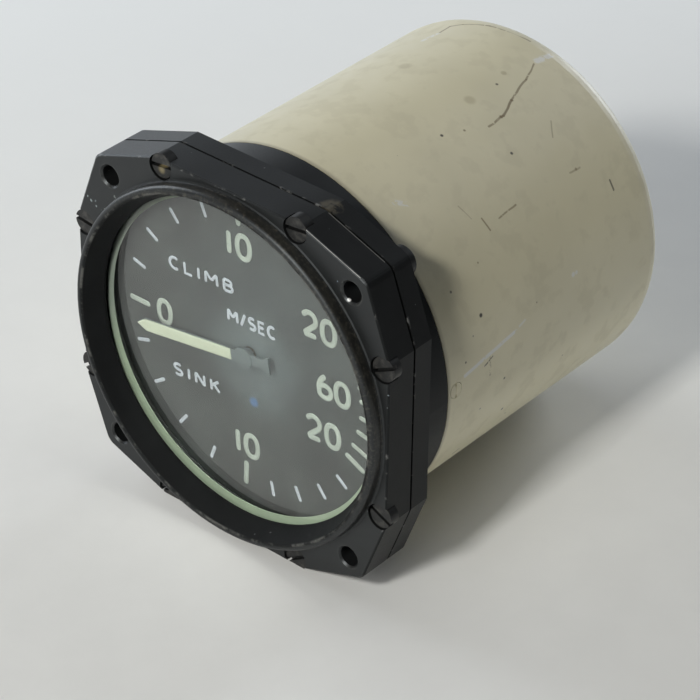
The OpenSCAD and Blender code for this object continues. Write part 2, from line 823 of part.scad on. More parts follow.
// Each bracket is an ear for a pivot, with a foot on the rear movement plate
module rocking_brackets() {
    color([0.78, 0.66, 0.38])
    difference() {
        for (x = bracket_places) {
            foot_x = x < 0 ? x : x - 3.2;
            top = x < 0 ? 2.2 : 5.6;
            bottom = x < 0 ? -9.2 : -2.2;
            foot_z = x < 0 ? -9.2 : 1.6;
            translate([x, rear_mplate_back, rocking_z + bottom])
                cube([bracket_t, rocking_y - rear_mplate_back, top - bottom]);
            translate([x, rocking_y, rocking_z])
                cross_bar(2.2, 0, bracket_t);
            translate([foot_x, rear_mplate_back, rocking_z + foot_z])
                cube([4.7, 1.4, 4]);
        }
        translate([0, rocking_y, rocking_z])
            cross_bar(pivot_r + running, rocking_x0 - 5, rocking_x1 + 5);
        at_bracket_screws() bar(0, 0, 0.85, rear_mplate_back - past, rear_mplate_back + 3);
    }
}

module bracket_screws() {
    color([0.60, 0.60, 0.57])
    at_bracket_screws()
        difference() {
            union() {
                bar(0, 0, 0.8, rear_mplate_y, rear_mplate_back + 1.4);
                bar(0, 0, 1.4, rear_mplate_back + 1.4, rear_mplate_back + 2.4);
            }
            translate([-2, rear_mplate_back + 2, -0.2])
                cube([4, 1, 0.4]);
        }
}

// Corrugated diaphragm: radius runs from the boss to the rim, waves in between
function diaphragm_wave(i) =
    corrugation_h / 2 * sin(360 * wave_count * i / wave_steps);

function diaphragm_points(face_y, side) =
    let (inner = capsule_boss_r, outer = capsule_d / 2 - flat_rim)
    [for (i = [0:wave_steps])
        [inner + (outer - inner) * i / wave_steps, face_y + side * diaphragm_wave(i)]];

// One dished sheet; side is 1 for the rear diaphragm and -1 for the front one
module diaphragm(face_y, side, rim_y) {
    outer_pts = diaphragm_points(face_y, side);
    back = [for (i = [wave_steps:-1:0]) outer_pts[i] - [0, side * diaphragm_t]];
    turned(concat([[0, face_y]], outer_pts,
        [[capsule_d / 2 - 0.4, rim_y + side * diaphragm_t], [capsule_d / 2, rim_y + side * diaphragm_t],
         [capsule_d / 2, rim_y], [capsule_d / 2 - 0.6, rim_y]],
        back, [[0, face_y - side * diaphragm_t]]));
}

module front_diaphragm() {
    color([0.80, 0.70, 0.45])
    diaphragm(front_diaphragm_y, -1, capsule_mid);
}

module rear_diaphragm() {
    color([0.80, 0.70, 0.45])
    difference() {
        diaphragm(rear_diaphragm_y, 1, capsule_mid);
        bar(0, 0, 1.2, rear_diaphragm_y - 2, rear_diaphragm_y + 2);
    }
}

// The link from the front diaphragm's centre to the rocking shaft's short arm
module capsule_link() {
    rest_shift = -rocking_z * sin(rocking_rest);
    eye_y = rocking_y + rest_shift;
    color([0.70, 0.70, 0.68])
    difference() {
        union() {
            bar(0, 0, capsule_boss_r, front_diaphragm_y - 1.6, front_diaphragm_y);
            bar(0, 0, 1.2, eye_y + 3.4, front_diaphragm_y - 1);
            translate([-2.2, eye_y + 2.4, -1.2]) cube([4.4, 1.6, 2.4]);
            for (x = [-2.2, 1.2]) {
                translate([x, eye_y, -1.2]) cube([1, 3, 2.4]);
                translate([x, eye_y, 0]) cross_bar(1.2, 0, 1);
            }
        }
        translate([0, eye_y, 0]) cross_bar(link_pin_r + link_play, -4, 4);
    }
}

// Stem of the capsule, clamped through the bridge, with the tee behind it
module capsule_stem() {
    color([0.78, 0.66, 0.38])
    difference() {
        union() {
            bar(0, 0, capsule_boss_r, rear_diaphragm_y, bridge_y);
            bar(0, 0, 1.9, bridge_y, tee_y);
            translate([-4, tee_y, -4]) cube([8, tee_t, 8]);
        }
        bar(0, 0, 0.8, rear_diaphragm_y - past, tee_y + tee_t / 2 + 0.8);
        translate([0, tee_y + tee_t / 2, 0]) cylinder(r = 0.8, h = 10, center = true);
        translate([0, tee_y + tee_t / 2, -4 - past]) cylinder(r = tube_r + 0.02, h = 1.5 + past);
        translate([0, tee_y + tee_t / 2, 2.5]) cylinder(r = 1.52, h = 3);
    }
}

module at_bridge_pillars() {
    for (x = [-bridge_pillar_x, bridge_pillar_x])
        translate([x * cos(20), 0, -bridge_pillar_x * sin(20)])
            children();
}

// A strap across the case with a raised middle that clamps the capsule's stem
module capsule_bridge() {
    end_x = bridge_pillar_x * cos(20);
    end_z = -bridge_pillar_x * sin(20);
    color([0.78, 0.66, 0.38])
    difference() {
        laid(bridge_y, bridge_y + bridge_t) {
            polygon([[-end_x, end_z - bridge_w / 2], [0, -bridge_w / 2 - 2],
                [end_x, end_z - bridge_w / 2], [end_x, end_z + bridge_w / 2],
                [0, bridge_w / 2 + 2], [-end_x, end_z + bridge_w / 2]]);
            for (x = [-end_x, end_x]) translate([x, end_z]) circle(r = bridge_w / 2);
        }
        bar(0, 0, 1.92, bridge_y - past, bridge_y + bridge_t + past);
        at_bridge_pillars() bar(0, 0, 1.05, bridge_y - past, bridge_y + bridge_t + past);
    }
}

module bridge_pillars() {
    color([0.72, 0.62, 0.36])
    at_bridge_pillars() {
        bar(0, 0, pillar_r, rear_mplate_back, bridge_y);
        bar(0, 0, 1, rear_mplate_y + 0.2, rear_mplate_back);
        bar(0, 0, 1, bridge_y, bridge_y + bridge_t + 1.9);
    }
}

module bridge_nuts() {
    color([0.60, 0.60, 0.57])
    at_bridge_pillars() hex_nut(4, 1.03, bridge_y + bridge_t, bridge_y + bridge_t + 1.6);
}

// The tube drops from the tee, bends once and runs back to the static port
module pressure_tube() {
    tube_y = tee_y + tee_t / 2;
    bend_z = -port_drop + tube_bend_r;
    tube_end = case_inner_end - 2.5;
    color([0.72, 0.48, 0.30])
    difference() {
        tube_run(tube_r, tube_y, bend_z, -2.6, tube_end);
        tube_run(0.8, tube_y, bend_z, -2.6 + past, tube_end + past);
    }
}

module tube_run(r, tube_y, bend_z, top, tube_end) {
    translate([0, tube_y, bend_z]) cylinder(r = r, h = top - bend_z);
    translate([0, tube_y + tube_bend_r, bend_z])
        rotate([0, 90, 0])
            rotate([0, 0, -90])
                rotate_extrude(angle = 90)
                    translate([tube_bend_r, 0]) circle(r = r, $fn = 24);
    bar(0, -port_drop, r, tube_y + tube_bend_r, tube_end);
}

// The calibrated leak: a fine capillary in a holder that opens into the case
module capillary_leak() {
    leak_y = tee_y + tee_t / 2;
    color([0.75, 0.75, 0.72])
    difference() {
        union() {
            translate([0, leak_y, 2.6]) cylinder(r = 1.5, h = 1.4);
            translate([0, leak_y, 4]) cylinder(r = 2.4, h = 3);
            translate([0, leak_y, 7]) cylinder(r = 0.7, h = 12);
        }
        translate([0, leak_y, 0]) cylinder(r = 0.25, h = 30);
    }
}

// The static port passes through the case's rear wall from inside
module static_port() {
    out_r = port_d / 2;
    thread_r = out_r + 1;
    nose = case_end + 5;
    tip = nose + port_length;
    color([0.80, 0.72, 0.48])
    translate([0, 0, -port_drop])
        difference() {
            turned([[0, case_inner_end - 2.5], [port_flange_r - 0.5, case_inner_end - 2.5],
                [port_flange_r, case_inner_end - 2], [port_flange_r, case_inner_end],
                [thread_r, case_inner_end], [thread_r, nose], [out_r, nose], [out_r, tip - 1],
                [out_r - 0.7, tip], [0, tip]]);
            bar(0, 0, out_r - 1.6, case_inner_end, tip + past);
            bar(0, 0, 1.2, case_inner_end - 3 * past, case_inner_end + past);
        }
}

module port_washer() {
    color([0.10, 0.10, 0.10])
    translate([0, 0, -port_drop])
        turned([[port_d / 2 + 1.05, case_end], [port_flange_r, case_end],
            [port_flange_r, case_end + 1], [port_d / 2 + 1.05, case_end + 1]]);
}

module port_nut() {
    color([0.80, 0.72, 0.48])
    translate([0, 0, -port_drop])
        hex_nut(2 * port_flange_r - 1, port_d / 2 + 1.03, case_end + 1, case_end + 4.5);
}

front_bezel();
bezel_screws();
glass();
glass_seal();
dial_ring();
dial();
pointer();
flange_gasket();
rear_flange();
mounting_nuts();
case_can();
case_screws();
front_movement_plate();
movement_screws();
rear_movement_plate();
movement_pillars();
pillar_nuts();
front_bearings();
rear_bearings();
pointer_arbor();
pointer_pinion();
hairspring_collet();
hairspring();
hairspring_stud();
sector_gear();
sector_arbor();
rocking_shaft();
sector_drive_arm();
capsule_arm();
rocking_brackets();
bracket_screws();
capsule_link();
front_diaphragm();
rear_diaphragm();
capsule_stem();
capsule_bridge();
bridge_pillars();
bridge_nuts();
pressure_tube();
capillary_leak();
static_port();
port_washer();
port_nut();
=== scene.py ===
"""Vertical speed indicator: its finishes, its printed dial, and a plain studio around it."""

import json
import math

import bmesh
import bpy
from mathutils import Euler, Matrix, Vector


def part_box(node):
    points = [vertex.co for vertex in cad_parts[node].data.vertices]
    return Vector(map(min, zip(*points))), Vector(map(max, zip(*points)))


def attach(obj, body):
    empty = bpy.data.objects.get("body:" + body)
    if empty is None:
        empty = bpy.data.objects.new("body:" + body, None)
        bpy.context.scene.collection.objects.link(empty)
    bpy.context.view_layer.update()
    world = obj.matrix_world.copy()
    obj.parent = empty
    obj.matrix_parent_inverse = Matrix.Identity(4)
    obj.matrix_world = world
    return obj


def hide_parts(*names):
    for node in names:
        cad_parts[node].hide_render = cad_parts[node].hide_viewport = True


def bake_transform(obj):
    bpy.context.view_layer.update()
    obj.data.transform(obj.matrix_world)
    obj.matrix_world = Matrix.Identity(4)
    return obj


bl_info = {
    "name": "Vertical Speed Indicator",
    "version": (1, 0, 0),
    "blender": (4, 5, 0),
    "location": "3D View > Sidebar > Indicator",
    "description": "Finishes the parts of a vertical speed indicator, prints its dial and lights it",
    "category": "Object",
}

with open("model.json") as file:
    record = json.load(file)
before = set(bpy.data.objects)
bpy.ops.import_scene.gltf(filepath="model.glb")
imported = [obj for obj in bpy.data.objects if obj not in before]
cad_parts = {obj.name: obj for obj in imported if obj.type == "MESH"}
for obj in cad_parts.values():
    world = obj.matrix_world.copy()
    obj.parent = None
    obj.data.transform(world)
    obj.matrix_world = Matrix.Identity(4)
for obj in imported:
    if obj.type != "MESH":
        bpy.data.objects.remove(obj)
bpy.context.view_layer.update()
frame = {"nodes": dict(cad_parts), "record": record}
MM = 0.001

# Sizes taken from the frame, in metres
FLANGE_LOW, FLANGE_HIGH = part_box("rear_flange")
FLANGE_HALF = FLANGE_HIGH.x
DIAL_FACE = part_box("dial")[0].y
POINTER_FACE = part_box("pointer")[0].y
CASE_LOW, CASE_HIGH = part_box("case_can")
CASE_RADIUS = CASE_HIGH.x
BEZEL_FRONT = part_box("front_bezel")[0].y
PLATE_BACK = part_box("front_bezel")[1].y
REST_LEVEL = FLANGE_LOW.z

# The flange's outline and its holes, as the frame has them
TAPER = math.radians(20)
FLAT_LENGTH = 38.5 * MM
TAPER_REACH = FLAT_LENGTH / 2 * math.sin(TAPER) + FLANGE_HALF * math.cos(TAPER)
MOUNT_OFFSET = 90 * MM / 2 * math.sqrt(0.5)
RING_RADIUS = 40.4 * MM
CREST_RADIUS = 39.2 * MM

# Bodies that pieces ride on
CASE_BODY = "case_group"
POINTER_BODY = "pointer_group"


# Settings that a user would change

def set_length(name, description, millimetres):
    """A setting that holds a length."""
    return bpy.props.FloatProperty(
        name=name, description=description, default=millimetres * MM, unit="LENGTH")


def set_colour(name, description, colour):
    """A setting that holds a colour."""
    return bpy.props.FloatVectorProperty(
        name=name, description=description, default=colour, size=3, subtype="COLOR")


def set_power(name, description, watts):
    """A setting that holds a lamp's power."""
    return bpy.props.FloatProperty(name=name, description=description, default=watts, unit="POWER")


class DialSettings(bpy.types.PropertyGroup):
    """Sizes of what is printed on the dial"""

    mark_outer: set_length("Mark circle", "Radius of the outer ends of the white marks", 33.6)
    minor_length: set_length("White mark length", "Length of a white mark", 3.7)
    minor_width: set_length("White mark width", "Width of a white mark", 0.85)
    major_width: set_length("Green mark width", "Width of a green mark", 1.3)
    digit_width: set_length("Digit width", "Width of a digit, over its stroke", 4.6)
    digit_height: set_length("Digit height", "Height of a digit, over its stroke", 6.5)
    digit_stroke: set_length("Digit stroke", "Width of a digit's stroke", 1.3)
    letter_height: set_length("Letter height", "Height of a letter, over its stroke", 3.3)
    letter_stroke: set_length("Letter stroke", "Width of a letter's stroke", 0.70)
    relief: bpy.props.FloatProperty(
        name="Relief", description="How high the paint of the marks stands, as a share of half its width",
        default=0.10, min=0.05, max=1, subtype="FACTOR")
    print_turn: bpy.props.FloatProperty(
        name="Print turn", description="How far the words and the numbers lean to the left",
        default=math.radians(3.5), subtype="ANGLE")


class FinishSettings(bpy.types.PropertyGroup):
    """Colours of the object's finishes"""

    black: set_colour("Black enamel", "Colour of the flange and the bezel ring", (0.0068, 0.0071, 0.0073))
    cream: set_colour("Cream enamel", "Colour of the case", (0.655, 0.612, 0.443))
    dial: set_colour("Dial", "Faded black of the dial", (0.0150, 0.0180, 0.0165))
    lume: set_colour("Luminous paint", "Pale green of the numbers and the marks", (0.247, 0.281, 0.245))
    white: set_colour("White paint", "White of the small marks and the words", (0.315, 0.345, 0.380))


class StageSettings(bpy.types.PropertyGroup):
    """The camera, the floor and the lamps"""

    place: bpy.props.FloatVectorProperty(
        name="Camera place", description="Where the camera stands", size=3, unit="LENGTH",
        default=(336.62 * MM, -360.12 * MM, 345.04 * MM))
    turn: bpy.props.FloatVectorProperty(
        name="Camera turn", description="Rotation of the camera", size=3, subtype="EULER",
        default=(math.radians(55.3285), math.radians(-0.5573), math.radians(40.6421)))
    lens: bpy.props.FloatProperty(
        name="Lens", description="Focal length on a 36 mm sensor", default=154.3, min=20, unit="CAMERA")
    key: set_power("Key lamp", "Power of the lamp high in front", 5.4)
    front: set_power("Front lamp", "Power of the low lamp in front", 3.8)
    left: set_power("Left lamp", "Power of the low lamp on the left", 5.6)
    window: set_power("Window", "Power of the low lamp behind on the left", 0.8)
    back: set_power("Back lamp", "Power of the low lamp behind", 5.3)
    room: bpy.props.FloatProperty(
        name="Room light", description="Strength of the light from all around", default=0.0, min=0, max=2)
    floor: set_colour("Floor", "Colour of the floor", (0.80, 0.80, 0.79))


# Small helpers for building node trees

def feed(tree, socket, value):
    """Links a socket to another socket, or sets it to a plain value."""
    if isinstance(value, bpy.types.NodeSocket):
        tree.links.new(value, socket)
    elif value is not None:
        socket.default_value = value


def node(tree, kind, *values, **settings):
    """A shader node with its settings and the values of its first inputs."""
    made = tree.nodes.new("ShaderNode" + kind)
    for name, value in settings.items():
        setattr(made, name, value)
    for socket, value in zip(made.inputs, values):
        feed(tree, socket, value)
    return made


def compute(tree, operation, a, b=None, c=None, clamp=False):
    """The result of a Math node."""
    return node(tree, "Math", a, b, c, operation=operation, use_clamp=clamp).outputs[0]


def vector(tree, operation, a, b=None, scale=None):
    """The vector or the value of a Vector Math node, whichever it makes."""
    made = node(tree, "VectorMath", a, b, None, scale, operation=operation)
    return made.outputs["Value" if operation in ("DISTANCE", "DOT_PRODUCT", "LENGTH") else "Vector"]


def step(tree, value, start, end):
    """0 before start and 1 after end, smooth in between; start may be the larger of the two."""
    limits = (start, end, 0.0, 1.0) if start < end else (end, start, 1.0, 0.0)
    return node(tree, "MapRange", value, *limits, interpolation_type="SMOOTHSTEP").outputs[0]


def spread(tree, value, low, high):
    """Maps 0 to 1 onto low to high."""
    return node(tree, "MapRange", value, 0.0, 1.0, low, high).outputs[0]


def blend_colour(tree, share, a, b):
    """Mixes two colours."""
    made = node(tree, "Mix", share, data_type="RGBA")
    for socket, value in ((made.inputs[6], a), (made.inputs[7], b)):
        feed(tree, socket, (*value, 1.0) if isinstance(value, (tuple, list)) and len(value) == 3 else value)
    return made.outputs[2]


def noise(tree, where, scale, detail=2.0, rough=0.5, output=0):
    """Noise between about 0 and 1; scale is in waves per metre. Output 1 is three noises as a vector."""
    return node(tree, "TexNoise", where, None, scale, detail, rough).outputs[output]


def ragged(tree, where, scale, amount, detail=2.0):
    """The same points pushed about by noise, so that lines and round marks get ragged edges."""
    bend = noise(tree, where, scale, detail, output=1)
    centred = vector(tree, "SUBTRACT", bend, (0.5, 0.5, 0.5))
    return vector(tree, "ADD", where, vector(tree, "SCALE", centred, scale=amount))


def place_of(tree):
    """The point on the surface, in the object's own frame."""
    return node(tree, "TexCoord").outputs["Object"]


def split(tree, point):
    """The x, y and z of a vector."""
    return node(tree, "SeparateXYZ", point).outputs


def flat_point(tree, across, up):
    """A vector from two values."""
    return node(tree, "CombineXYZ", across, up).outputs[0]


def product(tree, *factors):
    """Multiplies masks with each other."""
    result = factors[0]
    for factor in factors[1:]:
        result = compute(tree, "MULTIPLY", result, factor)
    return result


def paint(tree, colour, over, *masks):
    """Paints one colour over another where all the masks are high."""
    return blend_colour(tree, product(tree, *masks), colour, over)


def scaled(colour, factor):
    """A lighter or darker colour."""
    return tuple(v * factor for v in colour)


# Shader node groups that several finishes share

def new_group(name, inputs, *outputs):
    """An empty group with its sockets, all of them values but for inputs that start as a point."""
    tree = bpy.data.node_groups.new(name, "ShaderNodeTree")
    for socket_name, default in inputs.items():
        kind = "NodeSocketVector" if isinstance(default, tuple) else "NodeSocketFloat"
        socket = tree.interface.new_socket(socket_name, in_out="INPUT", socket_type=kind)
        socket.default_value = default
    for socket_name in outputs:
        tree.interface.new_socket(socket_name, in_out="OUTPUT", socket_type="NodeSocketFloat")
    return tree, tree.nodes.new("NodeGroupInput").outputs, tree.nodes.new("NodeGroupOutput").inputs


def mottle_group():
    """Cloudy variation at two sizes, for enamel, paint and metal."""
    tree, given, out = new_group("Mottle", {"Size": 120.0}, "Clouds", "Fine")
    where = place_of(tree)
    clouds = noise(tree, where, given["Size"], 3.0, 0.55)
    fine_size = product(tree, given["Size"], 17.0)
    feed(tree, out["Clouds"], step(tree, clouds, 0.3, 0.7))
    feed(tree, out["Fine"], noise(tree, where, fine_size, 2.0, 0.6))
    return tree


def specks_group():
    """Small scattered dots; Size is a share of the cell and Share is how many cells hold one."""
    tree, given, out = new_group("Specks", {"Cells": 400.0, "Size": 0.2, "Share": 0.2}, "Mask")
    where = place_of(tree)
    jitter = noise(tree, where, product(tree, given["Cells"], 3.0), output=1)
    bent = vector(tree, "ADD", where, vector(tree, "SCALE", jitter, scale=0.3 * MM))
    cells = node(tree, "TexVoronoi", bent, None, given["Cells"])
    chance = split(tree, cells.outputs["Color"])
    size = product(tree, given["Size"], compute(tree, "ADD", chance[1], 0.25))
    inside = compute(tree, "LESS_THAN", cells.outputs["Distance"], size)
    chosen = compute(tree, "LESS_THAN", chance[0], given["Share"])
    feed(tree, out["Mask"], product(tree, inside, chosen))
    return tree


def axis_group():
    """Radius from the instrument's axis and depth along it."""
    tree, _, out = new_group("Axis Place", {}, "Radius", "Depth")
    x, y, z = split(tree, place_of(tree))
    feed(tree, out["Radius"], vector(tree, "LENGTH", flat_point(tree, x, z)))
    feed(tree, out["Depth"], y)
    return tree


def outline_group():
    """Distance in from the flange's outline: a square with long tapers beside its corners."""
    tree, _, out = new_group("Outline Distance", {}, "Distance")
    x, _, z = split(tree, place_of(tree))
    ax = compute(tree, "ABSOLUTE", x)
    az = compute(tree, "ABSOLUTE", z)
    far = compute(tree, "MAXIMUM", ax, az)
    near = compute(tree, "MINIMUM", ax, az)
    to_flat = compute(tree, "SUBTRACT", FLANGE_HALF, far)
    along = compute(tree, "ADD", product(tree, far, math.cos(TAPER)), product(tree, near, math.sin(TAPER)))
    to_taper = compute(tree, "SUBTRACT", TAPER_REACH, along)
    feed(tree, out["Distance"], compute(tree, "MINIMUM", to_flat, to_taper))
    return tree


def scratch_group():
    """A thin line between two points, broken up and bent by noise."""
    tree, given, out = new_group(
        "Scratch",
        {"From": (0, 0, 0), "To": (0, 0, 10 * MM), "Width": 0.4 * MM, "Wobble": 0.5 * MM, "Breaks": 0.5},
        "Mask")
    where = place_of(tree)
    bent = ragged(tree, where, 160.0, given["Wobble"])
    reach = vector(tree, "SUBTRACT", given["To"], given["From"])
    local = vector(tree, "SUBTRACT", bent, given["From"])
    share = compute(tree, "DIVIDE", vector(tree, "DOT_PRODUCT", local, reach),
                    vector(tree, "DOT_PRODUCT", reach, reach), clamp=True)
    foot = vector(tree, "SCALE", reach, scale=share)
    off = compute(tree, "DIVIDE", vector(tree, "DISTANCE", local, foot), given["Width"])
    line = step(tree, off, 1.0, 0.4)
    gaps = compute(tree, "GREATER_THAN", noise(tree, where, 900.0, 3.0, 0.6), given["Breaks"])
    feed(tree, out["Mask"], product(tree, line, gaps))
    return tree


def brushed_group():
    """Fine straight marks along one direction, for turned and rolled metal."""
    tree, given, out = new_group("Brushed", {"Stretch": (900.0, 9000.0, 9000.0)}, "Lines")
    stretched = vector(tree, "MULTIPLY", place_of(tree), given["Stretch"])
    feed(tree, out["Lines"], noise(tree, stretched, 1.0, 2.0, 0.6))
    return tree


GROUP_MAKERS = {
    "Mottle": mottle_group,
    "Specks": specks_group,
    "Axis Place": axis_group,
    "Outline Distance": outline_group,
    "Scratch": scratch_group,
    "Brushed": brushed_group,
}


def use(tree, name, **values):
    """Places a shared group in a tree; returns its outputs."""
    group = bpy.data.node_groups.get(name) or GROUP_MAKERS[name]()
    made = node(tree, "Group", node_tree=group)
    for key, value in values.items():
        feed(tree, made.inputs[key.capitalize()], value)
    return made.outputs


def scratch(tree, start, end, width, wobble, breaks):
    """The mask of a scratch from one point to another."""
    ends = {"from": tuple(start), "to": tuple(end)}
    return use(tree, "Scratch", width=width, wobble=wobble, breaks=breaks, **ends)["Mask"]


# Materials

def new_material(name):
    """A material with only a Principled shader; returns it, its tree and the shader."""
    material = bpy.data.materials.new(name)
    material.use_nodes = True
    tree = material.node_tree
    return material, tree, tree.nodes["Principled BSDF"]


def cover(tree, shader, colour, roughness):
    """Gives the shader its colour and its roughness."""
    feed(tree, shader.inputs["Base Color"], colour)
    feed(tree, shader.inputs["Roughness"], roughness)


def relief(tree, shader, height, distance, strength):
    """Feeds a height into the shader's normal through a Bump node."""
    bump = node(tree, "Bump")
    for name, value in (("Strength", strength), ("Distance", distance), ("Height", height)):
        feed(tree, bump.inputs[name], value)
    feed(tree, shader.inputs["Normal"], bump.outputs[0])


def on_case(angle, depth):
    """A point on the case's skin: angle from +X towards +Z in degrees, depth in millimetres."""
    a = math.radians(angle)
    return Vector((CASE_RADIUS * math.cos(a), depth * MM, CASE_RADIUS * math.sin(a)))


def spot(tree, where, centre, radius, soft=0.25):
    """A round mask about a point."""
    away = vector(tree, "DISTANCE", where, tuple(centre))
    return step(tree, away, radius, radius * (1 - soft))


def add_spots(tree, colour, where, spots):
    """Paints round marks over a colour: each is a centre, a radius, a colour and a strength."""
    for centre, radius, tint, strength in spots:
        colour = paint(tree, colour, tint, spot(tree, where, centre, radius, 0.6), strength)
    return colour


def flange_enamel(name, front):
    """Black enamel of one flange plate, worn along its edges and holes, with dust."""
    material, tree, shader = new_material(name)
    black = tuple(bpy.context.scene.vsi_finish.black)
    where = place_of(tree)
    x, _, z = split(tree, where)
    mottle = use(tree, "Mottle", size=140.0)
    axis = use(tree, "Axis Place")
    radius, depth = axis["Radius"], axis["Depth"]
    colour = blend_colour(tree, mottle["Clouds"], black, scaled(black, 1.35))

    # Bare metal where the plate's outer edge is worn through
    rim = use(tree, "Outline Distance")["Distance"]
    edge_at = 0.0 if front else FLANGE_LOW.y
    near_edge = product(tree, step(tree, rim, 0.62 * MM, 0.25 * MM),
                        step(tree, depth, edge_at + 0.55 * MM, edge_at - 0.1 * MM))
    patches = step(tree, noise(tree, where, 260.0, 4.0, 0.65), 0.56, 0.66)
    worn = product(tree, near_edge, patches)
    colour = paint(tree, colour, (0.22, 0.22, 0.215), worn, 0.8)
    if front:
        # The plate's rear edge is worn along the seam
        seam = scratch(tree, (20.0 * MM, PLATE_BACK, 41.3 * MM), (33.9 * MM, PLATE_BACK, 36.2 * MM),
                       0.28 * MM, 0.1 * MM, 0.3)
        colour = paint(tree, colour, (0.20, 0.20, 0.19), seam, 0.7)
        colour = bezel_wear_and_highlights(tree, colour, where, x, z, radius, depth)
    else:
        # A brownish patch on the taper beside the case
        rough_place = ragged(tree, where, 500.0, 2.5 * MM, 3.0)
        patch = product(tree, spot(tree, rough_place, (19.0 * MM, 9.2 * MM, 41.5 * MM), 2.8 * MM, 0.5),
                        step(tree, noise(tree, where, 500.0, 4.0, 0.6), 0.40, 0.52))
        colour = paint(tree, colour, (0.085, 0.075, 0.055), patch, 0.75)
    dust = use(tree, "Specks", cells=620.0, size=0.11, share=0.10)["Mask"]
    colour = paint(tree, colour, (0.24, 0.25, 0.26), dust, 0.35)

    # The inside of the ring is dull; the sides shine on the left and less on the right
    inside = step(tree, radius, CREST_RADIUS + 0.5 * MM, CREST_RADIUS - 0.3 * MM)
    rough = compute(tree, "ADD", spread(tree, mottle["Fine"], 0.34, 0.48), product(tree, inside, 0.2))
    cover(tree, shader, colour, compute(tree, "ADD", rough, product(tree, worn, -0.05)))
    if front:
        side = step(tree, rim, 0.45 * MM, 0.20 * MM)
    else:
        side = step(tree, depth, PLATE_BACK, PLATE_BACK + 0.1 * MM)
    sheen = 0.5
    for share, *masks in (
            (0.45, side, step(tree, x, -8 * MM, -22 * MM)),
            (-0.34, side, step(tree, x, 8 * MM, 22 * MM)),
            (-0.36, inside)):
        sheen = compute(tree, "ADD", sheen, product(tree, *masks, share))
    feed(tree, shader.inputs["Specular IOR Level"], sheen)
    feed(tree, shader.inputs["Specular Tint"], (0.88, 0.95, 1.0, 1.0))
    relief(tree, shader, mottle["Fine"], 0.02 * MM, 0.35)
    return material


def bezel_wear_and_highlights(tree, colour, where, x, z, radius, depth):
    """Wear of the bezel ring and the mounting holes, the chips on the front plate, and painted highlights on
    one edge and in one hole.
    """
    upper_right = compute(tree, "ADD", product(tree, x, 0.55), product(tree, z, 0.83))
    handled = step(tree, upper_right, -4 * MM, 20 * MM)
    streaks = step(tree, noise(tree, where, 420.0, 4.0, 0.7), 0.38, 0.62)

    # Brown metal shows through on the side of the ring at the top and on the right
    ring_side = product(tree, step(tree, radius, RING_RADIUS - 0.4 * MM, RING_RADIUS - 0.05 * MM),
                        step(tree, depth, -0.3 * MM, -0.8 * MM),
                        step(tree, depth, BEZEL_FRONT + 0.2 * MM, BEZEL_FRONT + 0.7 * MM))
    colour = paint(tree, colour, (0.024, 0.023, 0.020), ring_side, handled, spread(tree, streaks, 0.35, 1.0))
    grains = product(tree, step(tree, radius, CREST_RADIUS - 0.6 * MM, CREST_RADIUS),
                     step(tree, depth, 0, -0.4 * MM), handled,
                     step(tree, noise(tree, where, 1500.0, 3.0, 0.7), 0.50, 0.66))
    colour = paint(tree, colour, (0.085, 0.078, 0.062), grains, 0.45)

    # A lighter grey line along the crest, in patches
    crest = product(tree, step(tree, depth, BEZEL_FRONT + 0.30 * MM, BEZEL_FRONT + 0.08 * MM),
                    step(tree, radius, CREST_RADIUS + 0.25 * MM, CREST_RADIUS - 0.2 * MM))
    crest_patches = step(tree, noise(tree, where, 190.0, 4.0, 0.7), 0.46, 0.60)
    colour = paint(tree, colour, (0.16, 0.16, 0.15), crest, crest_patches, 0.5)

    # The mounting holes' broken edges
    folded = flat_point(tree, compute(tree, "ABSOLUTE", x), compute(tree, "ABSOLUTE", z))
    to_hole = vector(tree, "DISTANCE", folded, (MOUNT_OFFSET, MOUNT_OFFSET, 0))
    lip = product(tree, step(tree, to_hole, 2.95 * MM, 2.7 * MM), step(tree, depth, 0.5 * MM, 0.1 * MM))
    colour = paint(tree, colour, (0.09, 0.09, 0.085), lip, streaks, 0.3)

    # The front edge beside the upper screw on the right is worn, and a painted highlight is laid along it; a
    # painted highlight sits in a hole
    edge_wear_highlight = scratch(tree, (20.3 * MM, 0.12 * MM, 41.0 * MM), (33.9 * MM, 0.12 * MM, 36.05 * MM),
                    0.13 * MM, 0.05 * MM, 0.22)
    colour = paint(tree, colour, (0.85, 0.85, 0.83), edge_wear_highlight)
    painted_hole_highlight = spot(tree, where, (31.0 * MM, 0.4 * MM, 29.75 * MM), 0.5 * MM, 0.5)
    colour = paint(tree, colour, (0.85, 0.85, 0.85), painted_hole_highlight)

    # Chips of the front face: x, z and radius in millimetres, colour and strength
    chips = [
        (6.9, 37.6, 0.9, (0.16, 0.15, 0.12), 0.9),
        (-38.3, 24.6, 0.30, (0.26, 0.31, 0.32), 0.8),
        (-37.4, 23.9, 0.34, (0.24, 0.29, 0.30), 0.8),
        (-36.2, 24.4, 0.26, (0.22, 0.26, 0.27), 0.8),
        (-36.0, 23.0, 0.40, (0.26, 0.31, 0.32), 0.8),
        (-34.6, 22.7, 0.28, (0.22, 0.26, 0.27), 0.8),
        (-33.6, 23.5, 0.18, (0.30, 0.33, 0.32), 0.8),
        (-30.8, 27.6, 0.35, (0.22, 0.24, 0.24), 0.7),
        (17.6, -35.7, 0.55, (0.45, 0.50, 0.48), 0.9),
        (28.5, 32.9, 0.28, (0.30, 0.38, 0.48), 0.9),
        (41.3, 14.9, 0.28, (0.40, 0.46, 0.52), 0.9),
        (41.3, 12.4, 0.24, (0.40, 0.46, 0.52), 0.9),
        (41.3, 9.6, 0.20, (0.30, 0.33, 0.36), 0.8),
    ]
    spots = [((px * MM, 0, pz * MM), size * MM, tint, strength) for px, pz, size, tint, strength in chips]
    return add_spots(tree, colour, ragged(tree, where, 900.0, 1.6 * MM, 3.0), spots)


